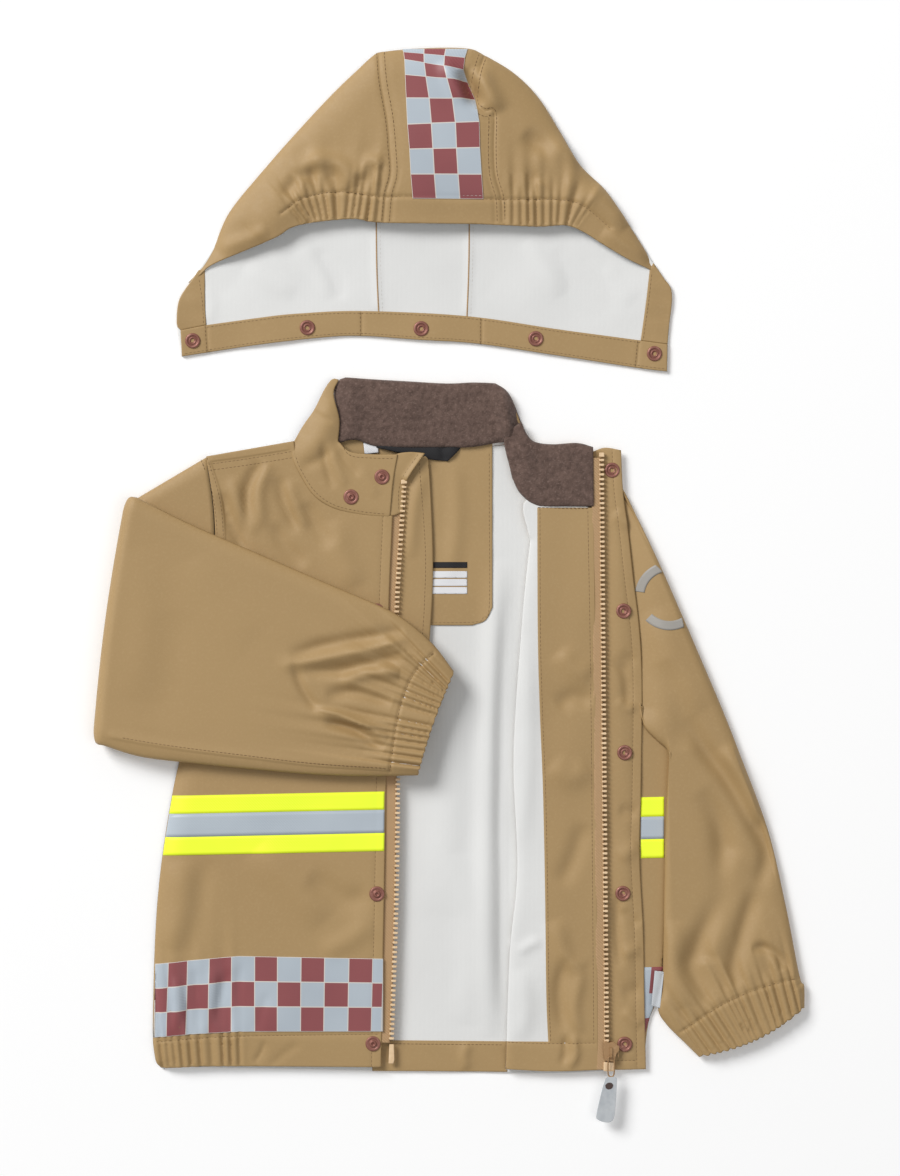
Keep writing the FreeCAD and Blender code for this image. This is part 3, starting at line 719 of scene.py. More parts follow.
def film_grid(name, corner, columns, rows, pick, top, body, slot, replaces=(), fine=8, lift=0.28,
              materials=(None, None)):
    """Film bonded to the cloth: a grid of cells, each of which takes one material."""
    nu, nv = columns * fine, rows * fine
    rim_share = 0.02 if len(materials) == 3 else 1 / fine
    steps = np.concatenate([[0], np.linspace(rim_share, 1 - rim_share, fine - 1)])
    along = np.append((np.arange(columns)[:, None] + steps).ravel(), columns) / columns
    up = np.append((np.arange(rows)[:, None] + steps).ravel(), rows) / rows
    u, v = np.meshgrid(along, up)
    xy = corner(u.ravel(), v.ravel())
    z = top(xy) + lift
    vertices = [np.column_stack([xy, z])]
    faces, choice = [], []
    for j in range(nv):
        for i in range(nu):
            a = j * (nu + 1) + i
            faces.append((a, a + 1, a + nu + 2, a + nu + 1))
            at_rim = len(materials) == 3 and (i % fine in (0, fine - 1) or j % fine in (0, fine - 1))
            choice.append(2 if at_rim else pick(i // fine, j // fine))
    rim = ([i for i in range(nu)] + [j * (nu + 1) + nu for j in range(nv)]
           + [nv * (nu + 1) + i for i in range(nu, 0, -1)] + [j * (nu + 1) for j in range(nv, 0, -1)])
    base = len(xy)
    vertices.append(np.column_stack([xy[rim], z[rim] - lift - 0.15]))
    for k, a in enumerate(rim):
        b = rim[(k + 1) % len(rim)]
        faces.append((a, base + k, base + (k + 1) % len(rim), b))
        choice.append(pick(min((a % (nu + 1)) // fine, columns - 1), min(a // (nu + 1) // fine, rows - 1)))
    made = piece(name, np.vstack(vertices), faces, materials, body, slot, choice)
    if replaces:
        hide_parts(*replaces)
    return made


def quad(corners):
    """A grid's corner function from its four corners: two at the bottom, then two at the top."""
    a, b, c, d = (np.array(p, float) for p in corners)
    return lambda u, v: ((1 - v) * (1 - u))[:, None] * a + ((1 - v) * u)[:, None] * b \
        + (v * (1 - u))[:, None] * c + (v * u)[:, None] * d


def ribbon(one, other):
    """A grid's corner function between two lines with a point at the end of each row."""
    def even(path, s):
        p = np.array(path, float)
        return np.column_stack([np.interp(s * (len(p) - 1), range(len(p)), p[:, k]) for k in (0, 1)])
    return lambda u, v: (1 - u)[:, None] * even(one, v) + u[:, None] * even(other, v)


def prism(name, outline, low, high, material, body, slot, bevel=0.4, node=None):
    """A moulded plate with rounded edges."""
    count = len(outline)
    ring = np.array(outline, float)
    if np.dot(ring[:, 0], np.roll(ring[:, 1], -1)) < np.dot(ring[:, 1], np.roll(ring[:, 0], -1)):
        ring = ring[::-1]
    vertices = np.vstack([np.column_stack([ring, np.full(count, low)]),
                          np.column_stack([ring, np.full(count, high)])])
    faces = [tuple(range(count))[::-1], tuple(range(count, 2 * count))]
    faces += [(k, (k + 1) % count, count + (k + 1) % count, count + k) for k in range(count)]
    made = piece(name, vertices, faces, (material,), body, slot, smooth=False)
    soft = made.modifiers.new("soft_edges", "BEVEL")
    soft.width = bevel * MM
    soft.segments = 3
    if node:
        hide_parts(node)
    return made


def rounded_off(lie, path, reach, drop):
    """The cloth turns down at an edge, as it does round the side of the coat."""
    def term(p):
        d, _, _ = measure(p, path)
        return -drop * (1 - np.sqrt(1 - (1 - np.minimum(d / reach, 1)) ** 2))
    return lie.add(term)


def lap(lie, path, height, side=1, width=9.0):
    """A lapped seam: the cloth is a little higher on one side of the line."""
    length = total(path)

    def term(p):
        d, s, which = measure(p, path)
        t = d * which * side
        ends = np.clip(np.minimum(s, length - s) / 4, 0, 1)
        return height * ends * np.exp(-(t / width) ** 2) * np.clip(t / 0.7 + 0.5, 0, 1)
    return lie.add(term)


def groove(lie, path, depth=0.4, width=0.9):
    """The hollow that a row of stitches pulls into the cloth."""
    def term(p):
        d, _, _ = measure(p, path)
        return -depth * np.exp(-(d / width) ** 2)
    return lie.add(term)


# ---- outlines of the coat ---------------------------------------------------------------------
HEM_Y = -381.0
RIGHT_SIDE = [(-189.5, 100), (-183, 50), (-184, -12), (-200, -92), (-217, -166),
              (-228, -246), (-231.8, -338), (-230, -370), (-225.6, -378)]
LEFT_SIDE = [(150, -95), (157, -112), (175, -130), (174, -160), (172, -200), (168, -292), (163, -324),
             (156, -344),
             (152.0, HEM_Y + 2)]
LEFT_ARMHOLE = [(133, 79), (138, 43), (143, 0), (148, -40), (150, -95)]
FRONT_EDGE = [(-44, 54), (-47, -22), (-49, -152), (-53.0, HEM_Y + 4)]
FOLD_EDGE = [(63, 34), (57, -25), (50, -133), (53, -222), (47, -290), (44.0, HEM_Y + 2)]
LEFT_CHAIN = line((119.2, 99), (121.2, -136), (123.2, -358))
RIGHT_CHAIN = line((-35, 78), (-41, -26), (-40, -120), (-41, -240), (-45, -358))
NECKLINE = [(-44, 54), (-80, 58), (-105, 72), (-117, 90), (-121, 112)]
BACK_Z, FRONT_Z, SIDE_Z = level("back_panel"), level("right_front_panel"), level("left_front_side")
LEFT_Z, FLAP_Z = level("left_front_panel"), level("storm_flap", 0) + 1.2


# ---- back of the coat: lining up --------------------------------------------------------------
def back():
    """The back panel, lining up, and its hem band."""
    outline = loop([(x + 3, y - 2) for x, y in RIGHT_SIDE], [(-222, -378), (-189, -378), (-23.0, HEM_Y),
                   (80, -382.5), (148, -379)],
                   [(148, -379), (151, -344), (159, -322), (165, -290), (166, -200), (165, -150),
                    (147, -105)], [(147, -105), (139, -90), (137, -40), (132, 0),
                   (128, 43), (124, 72)], [(124, 72), (110, 89), (56, 110)],
                   [(56, 110), (-20, 106), (-119, 108)], [(-119, 108), (-186.5, 98)])
    lie = Lie(BACK_Z)
    lie.fold(9, 1.5, (38, 20), (34, -80), (30, -200), (31, -300), (33, -356), fade=0.2)
    lie.fold(5, -0.7, (44, -10), (40, -120), (42, -250), (41, -340))
    lie.fold(3, 0.9, (47, -283), (56, -279), (66, -275))
    lie.fold(16, 0.8, (-8, -60), (2, -150), (-5, -260))
    lie.fold(12, 0.7, (10, -210), (18, -280), (14, -345))
    lie.swell(0.45, 120, 3)
    stitch = line((-60, -357.5), (43, -358.5))
    cloth("back_panel", outline, lie, "coat", faces=(WHITE, TAN), spacing=4.0, replaces=["back_panel"],
          dense=[(line((0, 60), (36, -60), (34, -200), (34, -360)), 34, 2.4)])
    groove(lie, stitch)
    band = loop([(-60, HEM_Y + 0.4), (-23.0, HEM_Y + 0.3), (45.5, -381.4)],
                [(45.5, -381.4), (45.5, -357.5)],
                [(45.5, -357.5), (0, -357), (-60, -356.5)])
    hem = lie.raised(0.9)
    hem.fold(4, 0.6, (14, -380), (12, -368), (16, -358))
    hem.swell(0.25, 30, 5)
    cloth("hem_band_back", band, hem, "coat", faces=(TAN, TAN), thick=0.8, spacing=2.4,
          replaces=["hem_facing_back"])
    stitches(line((-46, -359.2), (42, -360.2)), hem, "coat")
    return lie


def neck_facing(lie):
    """The facing with rounded corners inside the back of the neck."""
    outline = loop(*straight((-103, 114), (-103, -32), (18, -32)),
                   [(18, -32), (28.5, -28), (34, -18)], [(34, -18), (34, 114)],
                   [(34, 114), (-20, 112.5), (-103, 114)])
    top = lie.raised(1.3)
    top.fold(7, 0.6, (4, 96), (6, 50), (0, 0))
    top.swell(0.25, 50, 9)
    cloth("back_neck_facing", outline, top, "coat", faces=(TAN, WHITE), thick=0.9, spacing=2.6,
          replaces=["back_neck_facing"])
    edge = line((-60, -29.6), (17, -29.6), (26.5, -25.5), (31.5, -17), (31.5, 60), (31.5, 103))
    stitches(edge, top, "coat")
    return top


def labels(top):
    """The four lines of the name label, blank, and the size tab."""
    name = top.raised(0.35)
    left, right = -38, 14.3
    for number, (low, high) in enumerate(((12.9, 17.6), (5.1, 10.5), (-1.2, 4.3), (-7.4, -2))):
        outline = loop(*straight((left, low), (right, low), (right, high), (left, high), (left, low)))
        cloth(f"name_label_{number + 1}", outline, name, "coat", "label_cloth", 0.3,
              (DARK_TAPE if number == 0 else LABEL, LABEL), 1.6, edge=0.3,
              replaces=["inside_labels"] if number == 0 else ())
    size = loop(*straight((-66, 102), (-55, 103), (-56, 112), (-67, 111), (-66, 102)))
    cloth("size_tab", size, top.raised(1.4).swell(0.3, 12, 4), "coat", "label_cloth", 0.4,
          (LABEL, LABEL), 1.6)


def hanger_loop():
    """The dark tape that the coat hangs by, lying flat."""
    outline = loop([(-60, 110), (-44, 108.6), (-24, 107.6), (-4, 107.6), (10.5, 108.6)],
                   [(10.5, 108.6), (6, 103), (-1, 96.4)],
                   [(-1, 96.4), (-14, 97.6), (-34, 101.6), (-50, 105.4), (-60, 107.4)],
                   [(-60, 107.4), (-60, 110)])
    lie = Lie(level("hanger_loop", 0) + 1.6)
    lie.fold(7, 0.8, (-58, 108), (-24, 103.5), (8, 103), fade=0.1)
    lie.fold(3, -0.5, (-6, 108), (-3, 96))
    cloth("hanger_loop", outline, lie, "coat", "label_dark", 0.9, (DARK_TAPE, DARK_TAPE), 1.4,
          replaces=["hanger_loop"])


# ---- right front: closed ----------------------------------------------------------------------
def right_front():
    """The closed front, with its side, hem gathers, seams and stitches."""
    outline = loop(RIGHT_SIDE, [(-225, -378), (-214, -377.5), (-189, -376.4), (-120, -376.6), (-53, -377)],
                   FRONT_EDGE[::-1], NECKLINE, [(-121, 112), (-189.5, 100)])
    lie = Lie(FRONT_Z)
    lie.swell(0.5, 150, 12)
    lie.fold(9, -0.9, (-110, -228), (-80, -246), (-62, -240))
    lie.fold(14, 0.9, (-150, -205), (-120, -236), (-96, -262))
    lie.fold(12, 0.9, (-210, -215), (-206, -250), (-214, -286))
    lie.fold(9, -0.7, (-190, -212), (-196, -250), (-204, -290))
    lie.fold(8, 0.7, (-60, -262), (-76, -276), (-100, -288))
    lie.crease(5, -1.4, (-146, 96), (-157, 74), (-158, 36))
    lie.fold(5, 1.1, (-139, 96), (-148, 74), (-146, 44))
    lie.crease(5, -1.2, (-133, 84), (-128, 64), (-118, 40))
    lie.fold(5, 0.8, (-126, 82), (-120, 62), (-110, 44))
    lie.crease(5, -1.3, (-178, 72), (-170, 48), (-158, 22))
    lie.fold(5, 1.0, (-170, 84), (-163, 60), (-152, 38))
    lie.fold(6, -0.8, (-136, 48), (-128, 30), (-112, 14))
    lie.fold(7, -0.9, (-113, 64), (-104, 46), (-90, 30))
    lie.fold(10, 0.8, (-92, 50), (-84, 24), (-72, -2))
    side = line(*RIGHT_SIDE[3:])
    rounded_off(lie, side, 20, 6.6)
    hem = line((-226, -378), (-189, -376), (-53, -377))
    lie.slope(hem, 26, 2)
    stitch = line((-229, -357.2), (-200, -354.6), (-165, -352.6), (-100, -351.6), (-55, -351.2))
    lie.crease(4, -0.8, (-199, -300), (-196, -318), (-190, -346))
    lie.crease(4, -0.7, (-181, -346), (-180, -328), (-172, -300))
    lie.fold(4, 0.6, (-187, -346), (-187, -322), (-184, -298))
    lie.crease(4, -0.7, (-168, -350), (-167, -326), (-164, -296))
    lie.crease(4, -0.4, (-150, -350), (-147, -334), (-141, -318))
    lie.fold(5, 0.6, (-215, -352), (-213, -330), (-212, -306))
    lie.crease(3, -0.4, (-140, -376), (-128, -366), (-116, -358))
    lie.crease(3, -0.4, (-152, -374), (-146, -364), (-144, -356))
    lie.gathers(stitch, 7.2, 3.0, 21, 58, 21, span=(-8, 72))
    groove(lie, stitch, 0.35)
    placket = shifted(line(*FRONT_EDGE), -7.5)
    groove(lie, placket, 0.25)
    shoulder = line((-188.5, 95.5), (-160, 99.5), (-123, 105.5))
    lap(lie, shoulder, 0.5)
    armhole = line((-187.5, 100), (-182.5, 86), (-177.5, 68), (-174.5, 38), (-176, -10), (-190, -80))
    lap(lie, armhole, 0.6, -1)
    lap(lie, line(*NECKLINE), 0.3)
    dense = [(line((-231, -366), (-162, -363)), 18, 1.5), (line((-231, -330), (-160, -330)), 30, 2.2),
             (line((-190, 100), (-120, 108)), 16, 2.4)]
    cloth("right_front", outline, lie, "coat", faces=(TAN, WHITE), spacing=3.4, rows=[stitch, placket,
          armhole,
          shoulder], dense=dense, replaces=["right_front_panel", "right_side_seam",
                                            "hem_facing_right_front",
          "hem_elastic_right"])
    for path in (stitch, placket):
        stitches(path, lie, "coat")
    for offset in (-1.8, -6.6):
        stitches(shifted(shoulder, offset), lie, "coat")
    for offset in (-1.6, -6.4):
        stitches(shifted(armhole, offset)[:60], lie, "coat")
    return lie


def body_films(front, side):
    """The trim and the check band, across the front and on the side in sight."""
    def edge_x(y):
        path = line(*RIGHT_SIDE)
        return float(np.interp(-y, -path[:, 1], path[:, 0])) + 0.6

    at_side = (-165, -179.2, -197.4, -211.6)
    at_zip = (-161.5, -175.7, -193.8, -207.9)
    for number, (material, node) in enumerate(((LIME, "tape_lime"), (SILVER, "tape_silver"), (LIME, None))):
        corners = [(edge_x(at_side[number + 1]), at_side[number + 1]), (-50.6, at_zip[number + 1]),
                   (edge_x(at_side[number]), at_side[number]), (-50.3, at_zip[number])]
        film_grid(f"trim_front_{number + 1}", quad(corners), 18, 1, lambda i, j: 0, front, "coat",
                  "film_silver" if number == 1 else "film_lime", [node] if node else (), 6, 0.3,
                  (material,))
    rows = (-166.5, -181.8, -199.3, -214.1)
    for number, material in enumerate((LIME, SILVER, LIME)):
        corners = [(150, rows[number + 1]), (168.2, rows[number + 1] + 0.4), (150, rows[number]),
                   (168.2, rows[number] + 0.4)]
        film_grid(f"trim_side_{number + 1}", quad(corners), 2, 1, lambda i, j: 0, side, "coat",
                  "film_silver" if number == 1 else "film_lime", (), 6, 0.3, (material,))
    columns = (-229.6, -219.0, -204.0, -187.0, -169.5, -151.6, -133.8, -115.4, -97.0, -78.0, -59.4, -51.4)

    def corner(u, v):
        x = np.interp(u * 11, range(12), columns)
        low = np.interp(x, (-230, -200, -165, -51), (-354, -351.0, -349.0, -348.8))
        high = np.interp(x, (-230, -200, -165, -51), (-296.4, -293.0, -289.8, -292))
        lean = (1 - v) * np.interp(x, (-230, -150, -51), (-2, 0.0, -1.4))
        return np.column_stack([x + lean * (u < 0.999) * (u > 0.001), low + v * (high - low)])
    film_grid("check_band_front", corner, 11, 3, lambda i, j: (i + j) % 2, front, "coat", "film_silver",
              ["check_band_base", "check_band_red"], 8, 0.55, (SILVER, RED, RIM))
    edges = ([(149, -357), (149, -339.5), (149, -320), (149, -299.5)],
             [(151.8, -356.4), (157, -339), (164, -319.6), (167.8, -299)])
    side_rows = ((1, 1), (0, 0), (0, 1))
    film_grid("check_band_side", ribbon(*edges), 2, 3,
              lambda i, j: side_rows[j][i], side, "coat", "film_red", (), 8, 0.3, (SILVER, RED))


# ---- left side of the coat, under the open front ----------------------------------------------
def left_side():
    """The side of the coat that shows beyond the open front, and its label."""
    inset = [(x + 2.4, y) for x, y in FOLD_EDGE]
    outline = loop([(60.4, 104), (62.4, 62), (65.4, 34)], inset, [(46.4, -379), (152, -379)],
                   LEFT_SIDE[::-1], LEFT_ARMHOLE[::-1], [(133, 79), (118, 92), (60.4, 104)])
    lie = Lie(SIDE_Z)
    rounded_off(lie, line(*LEFT_SIDE[1:]), 6, 1.4)
    lie.gathers(line((100, -356), (164, -354)), 6.0, 0.5, 21, 20, 31)
    cloth("left_front_side", outline, lie, "coat", faces=(TAN, WHITE), spacing=4.5,
          replaces=["left_front_side",
          "hem_elastic_left"], dense=[(line((158, -110), (162, -360)), 12, 2.2)])
    label = loop(*straight((158, -329), (165, -331), (168, -302.5), (160.6, -301.5), (158, -329)))
    cloth("side_label", label, lie.raised(4.6).swell(0.3, 20, 8), "coat", "label_cloth", 0.5,
          (GREY_LABEL, GREY_LABEL), 1.8,
          replaces=["side_label"])
    return lie


# ---- left front, folded open ------------------------------------------------------------------
def left_front():
    """The part of the left front that is folded open, and its facing."""
    fold = [(x + 0.2, y) for x, y in FOLD_EDGE]
    outline = loop(fold, [(44.2, -379), (80, -380.5), (110, -379.4)], [(110, -379.4), (106.4, 58)],
                   [(106.4, 58), (106.4, 62), (60.6, 66), (63.2, 34)])
    lie = Lie(LEFT_Z)
    fold_line = line(*fold)
    rounded_off(lie, fold_line, 7, 0.5 * (LEFT_Z - SIDE_Z) - 0.3)
    lie.fold(8, 0.9, (86, -52), (98, -66), (112, -70))
    lie.fold(7, -0.9, (84, -96), (97, -88), (112, -92))
    lie.fold(9, 0.8, (80, -140), (95, -150), (110, -142))
    lie.fold(7, -0.9, (106, -186), (97, -214), (86, -236))
    lie.fold(7, 1.0, (82, -262), (92, -292), (108, -300))
    lie.fold(5, -1.0, (92, -290), (86, -318), (90, -350))
    lie.fold(5, 0.9, (104, -300), (98, -330), (102, -352))
    lie.fold(3, 1.0, (97, -350), (99, -366), (94, -378))
    lie.fold(2.4, -0.8, (90, -352), (91, -364), (88, -376))
    lie.fold(7, 0.6, (60, -40), (62, -120), (58, -200))
    lie.fold(4, 0.6, (54, -288), (62, -282), (72, -278))
    lie.fold(7, 0.6, (56, -300), (60, -330), (56, -356))
    lie.swell(0.45, 60, 41)
    edge = line((69, 60), (69.4, -40), (71, -100), (73.4, -160), (75, -238), (76, -319), (77.5, -357))
    hem = line((45, -357.5), (77, -358.5), (114.5, -358))
    cloth("left_front_panel", outline, lie, "left_front", faces=(WHITE, TAN), spacing=3.2, rows=[edge],
          replaces=["left_front_panel"])
    top = lie.raised(0.8)
    groove(top, hem, 0.3)
    band = loop(edge, *straight((77.5, -357), (44.9, -356.8), (44.3, -378.6)),
                [(44.3, -378.6), (80, -380.2), (116.6, -379.2)], [(116.6, -379.2), (115, -100),
                (113.2, 60)],
                [(113.2, 60), (69, 60)])
    cloth("left_front_facing", band, top, "left_front", faces=(TAN, TAN), thick=0.8, spacing=2.8,
          rows=[hem],
          replaces=["left_front_facing"])
    stitches(shifted(edge, 2.0), top, "left_front")
    stitches(hem, top, "left_front")
    stitches(line((108.4, 58), (110.9, -100), (113, -356)), top, "left_front")
    return lie


def fold_roll():
    """The turn of cloth between the side of the coat and the open front, lining outwards."""
    edge = line(*[(58.5, 104), (60, 62)], *FOLD_EDGE, step=4)
    low, high = SIDE_Z - 0.7, LEFT_Z - 0.9
    rings, faces = [], []
    turn = np.linspace(-0.5 * np.pi, 0.5 * np.pi, 13)
    for offset, radius_z in ((0, 0.5 * (high - low)), (1.2, 0.5 * (high - low) - 1.0)):
        for angle in (turn if offset == 0 else turn[::-1]):
            x = edge[:, 0] + 6.3 - (5.5 - offset) * math.cos(angle)
            z = 0.5 * (low + high) + radius_z * math.sin(angle)
            rings.append(np.column_stack([x, edge[:, 1], np.full(len(edge), z)]))
    count, length = len(rings), len(edge)
    vertices = np.vstack(rings)
    for r in range(count):
        a, b = r * length, (r + 1) % count * length
        faces += [(a + k, a + k + 1, b + k + 1, b + k) for k in range(length - 1)]
    faces += [tuple(r * length for r in range(count)),
              tuple(r * length + length - 1 for r in range(count))[::-1]]
    bands = [int(edge[k, 1] < -357 or r > 12) for r in range(count) for k in range(length - 1)] + [0, 0]
    made = piece("left_fold_roll", vertices, faces, (WHITE, TAN), None, "white_knit", bands)
    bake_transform(made)


def storm_flap():
    """The flap beyond the zip, with its snap sockets."""
    outer = line((134.5, 105), (136, 74), (140, 43), (144, 6), (149, -36), (151, -82), (150, -166),
                 (149, -211),
                 (152, -274), (153, -333), (154, -379))
    outline = loop(outer, [(154, -379), (114, -379.5)], [(114, -379.5), (112.6, 0), (112.5, 104)],
                   [(112.5, 104), (122, 107), (134.5, 105)])
    lie = Lie(FLAP_Z)
    lie.add(lambda p: 1.3 * np.exp(-((p[:, 0] - 133 - 0.012 * (60 - p[:, 1])) / 9) ** 2))
    for y, seed in ((50, 1), (-60, 2), (-95, 3), (-178, 4), (-208, 5), (-262, 6), (-286, 7), (-318, 8),
                    (-340, 9)):
        tilt = 8 * math.sin(seed * 2.3)
        x = 128 + 0.02 * (60 - y)
        lie.fold(4 + seed % 3, 0.6 if seed % 2 else -0.6, (x, y + tilt), (x + 8, y),
                 (x + 15, y - 0.6 * tilt))
    lie.fold(3.5, -0.9, (133, -240), (131, -262), (134, -300))
    lie.fold(4, -0.8, (136, -62), (139, -80), (138, -98))
    lie.swell(0.4, 40, 51)
    seam = shifted(outer, -7)
    foot = line((118, -372), (146, -372))
    for path in (seam, foot):
        groove(lie, path, 0.3)
    cloth("storm_flap", outline, lie, "left_front", faces=(TAN, TAN), spacing=2.6, rows=[seam, foot],
          replaces=["storm_flap"])
    for path in (seam, foot):
        stitches(path, lie, "left_front")
    snaps("flap_snap_sockets", FLAP_SNAPS, lie, "left_front", SOCKET, "flap_snap_sockets")
    return lie


FLAP_SNAPS = [(127.5, 89.3), (136.5, -20.7), (137.3, -131.4), (135.9, -241.4), (137.3, -359.2)]
FRONT_STUDS = [(-52.3, 83.9), (-56.5, -20.7), (-57, -131.4), (-56.2, -241.4), (-59.3, -358.4)]
HOOD_SNAPS = [(-200.5, 190.7), (-110.8, 200.9), (-21.8, 200.1), (67.9, 192.3), (160.7, 180.6)]


# ---- zip --------------------------------------------------------------------------------------
def tape_strip(name, chain, inner, outer, z, body):
    """Zip tape between two distances from the chain."""
    path = chain[::2]
    outline = loop(shifted(path, inner), shifted(path, outer)[::-1])
    cloth(name, outline, Lie(z), body, "zip_tape", 0.7, (TAPE, TAPE), 1.8, edge=0.3, replaces=[name])


def zips():
    """Both halves of the zip, with their end parts."""
    tape_strip("zip_tape_left", line((119.2, 99), (121.2, -136), (123.4, -379)), -8.2, -0.8,
               level("zip_tape_left") + 0.05, "left_front")
    teeth("zip_teeth_left", LEFT_CHAIN, Lie(level("zip_teeth_left") - 1.3), "left_front", 1)
    tape_strip("zip_tape_right", RIGHT_CHAIN, -0.8, -10.5, level("zip_tape_right") - 0.3, "coat")
    teeth("zip_teeth_right", RIGHT_CHAIN, Lie(level("zip_teeth_right") - 1.2), "coat", -1)
    for name, body, lift, bevel, shape in (
            ("zip_pin_right", "coat", 0.9, 0.5,
             [(-47.2, -374), (-43.4, -374), (-42.6, -371), (-43, -359), (-46.6, -359)]),
            ("zip_top_stop_right", "coat", 0, 0.5, [(-37.6, 78.4), (-32.6, 78.8), (-32.9, 82),
                                                    (-37.2, 81.8)]),
            ("zip_top_stop_left", "left_front", 0, 0.5, [(117.1, 99.6), (121.3, 99.6), (121.1, 103),
                                                         (117.3, 103)]),
            ("zip_retainer_box", "left_front", 0, 0.7,
             [(120.7, -380), (128.9, -380), (129.2, -373), (120.6, -372.8)])):
        prism(name, shape, level(name, 0), level(name) + lift, RESIN, body, "zip_resin", bevel, name)


def slider():
    """The slider and its pull, drawn on the chain: v runs up it from the slider's lower end."""
    tilt = math.atan2(4, 471)

    def laid(points):
        return [(123.2 + x * math.cos(tilt) - y * math.sin(tilt),
                 -372.0 + x * math.sin(tilt) + y * math.cos(tilt))
                for x, y in points]
    low, high = level("zip_slider_body", 0), level("zip_slider_body")
    roof = low + 4.25
    crown = [(-1.9, 0.9), (0.2, 0.2), (5.4, -0.3), (6.4, 1.2), (7.4, 5.6), (9.7, 8.4), (9.8, 11.6),
             (7.6, 13.4),
             (5.4, 15.4), (1.8, 14.6), (-0.6, 15.9), (-2.8, 15.2), (-3, 9)]

    def metal(part, shape, bottom, top, bevel, node=None):
        prism(f"zip_slider_{part}", laid(shape), bottom, top, SLIDER, "zip_slider", "slider_metal",
              bevel, node)
    metal("top", crown, roof, roof + 1.3, 0.45, "zip_slider_body")
    metal("floor", [(x * 0.7 + 0.5, y) for x, y in crown], low, low + 0.7, 0.25)
    metal("wedge", [(2.2, 9), (4, 9), (4.6, 14), (1.6, 14)], low + 0.5, roof + 0.2, 0.3)
    for side, x in (("left", -2.8), ("right", 8.6)):
        metal(f"wall_{side}", [(x, 3), (x + 0.8, 3), (x + 0.8, 11), (x, 11)], roof - 0.8, roof + 0.2, 0.2)
    hoop = [(2.3, 11), (4.3, 11), (4.3, 8.2), (4.1, 5.4), (4.1, 5.2), (2.5, 5.2), (2.3, 8.2)]
    metal("crown", hoop, roof + 1.1, high - 0.9, 0.6)
    arch = [(3.3, 5.6, high - 0.7), (3.3, 4.0, high - 0.15), (3.3, 2.6, high - 0.7), (3.3, 2.1, roof + 1.2)]
    arch = [(*laid([(x, y)])[0], z) for x, y, z in arch]
    piece("zip_slider_bail", *tube(arch, 0.55, 12), (SLIDER,), "zip_slider", "slider_metal")
    z = level("zip_pull_link") - 0.85
    ring = [(3.3, 3.6), (1.2, 3.4), (0.9, 0), (0.7, -6), (1.1, -10.8), (3.1, -12), (5.1, -10.8), (5.7, -6),
            (5.6, 0), (5.4, 3.4), (3.3, 3.6)]
    heights = [z, z, z, z - 0.3, z - 0.9, z - 1.1, z - 0.9, z - 0.3, z, z, z]
    smooth = line(*ring, step=0.8)
    rise = np.interp(np.linspace(0, 1, len(smooth)), np.linspace(0, 1, len(heights)), heights)
    path = [(*laid([tuple(q)])[0], h) for q, h in zip(smooth, rise)]
    link = piece("zip_pull_link", *tube(path, 0.55, 12), (SLIDER,), "zip_pull", "slider_metal")
    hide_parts("zip_pull_link")
    low, high = level("zip_pull_tab", 0), level("zip_pull_tab")
    tab = line((-1.4, -13.4), (0.4, -12.2), (3.2, -11.8), (6.2, -12.2), (7.6, -13.6), (7.4, -20),
               (6.6, -32),
               (5.4, -42.5), (3.6, -46.4), (0.4, -47.6), (-4.6, -46.8), (-8.2, -44.8), (-8.8, -42.8),
               (-7, -34),
               (-4, -22), (-1.8, -15), step=1.2)
    prism("zip_pull_tab", laid(tab), low, high, TAB, "zip_pull", "pull_tab", 0.35, "zip_pull_tab")
    # The slot is not cut through the tab: a thin dark plate in its shape paints the shade seen in the
    # opening.
    slot_shape = line((-1.6, -18.4), (0.4, -16.6), (3.2, -16.6), (4.8, -18.6), (3.4, -21.2), (0.6, -21.8),
                      (-1.2, -20.6), step=0.8)
    prism("zip_pull_rivet", laid(slot_shape), high - 0.3, high + 0.15, PAINTED_SLOT_SHADE, "zip_pull",
          "snap_metal", 0.2)


def zip_guard():
    """The flap of cloth behind the zip on the right front."""
    outline = loop(*straight((-75, 50), (-75, -374), (-54, -374)),
                   [(-54, -374), (-50, -250), (-47, -150), (-30, -118), (-15, -60)],
                   [(-15, -60), (-15, -42), (-13, -10), (-12.6, 30), (-15.5, 90), (-17.6, 101)],
                   [(-17.6, 101), (-30, 96), (-40, 84), (-46, 56)], [(-46, 56), (-75, 50)])
    lie = Lie(level("zip_guard", 0) + 1.6)
    lie.swell(0.35, 50, 61)
    lie.fold(5, 0.7, (-20, 90), (-27, 60), (-30, 20))
    lie.slope(line((-15, -42), (-13, -10), (-12.6, 30), (-17.6, 101)), 4, 0.8)
    cloth("zip_guard", outline, lie, "coat", faces=(TAN, TAN), spacing=2.6, replaces=["zip_guard"])
    stitches(shifted(line((-18, -60), (-15, -42), (-13, -10), (-12.6, 30), (-17.6, 99)), 6.0), lie, "coat")
    return lie


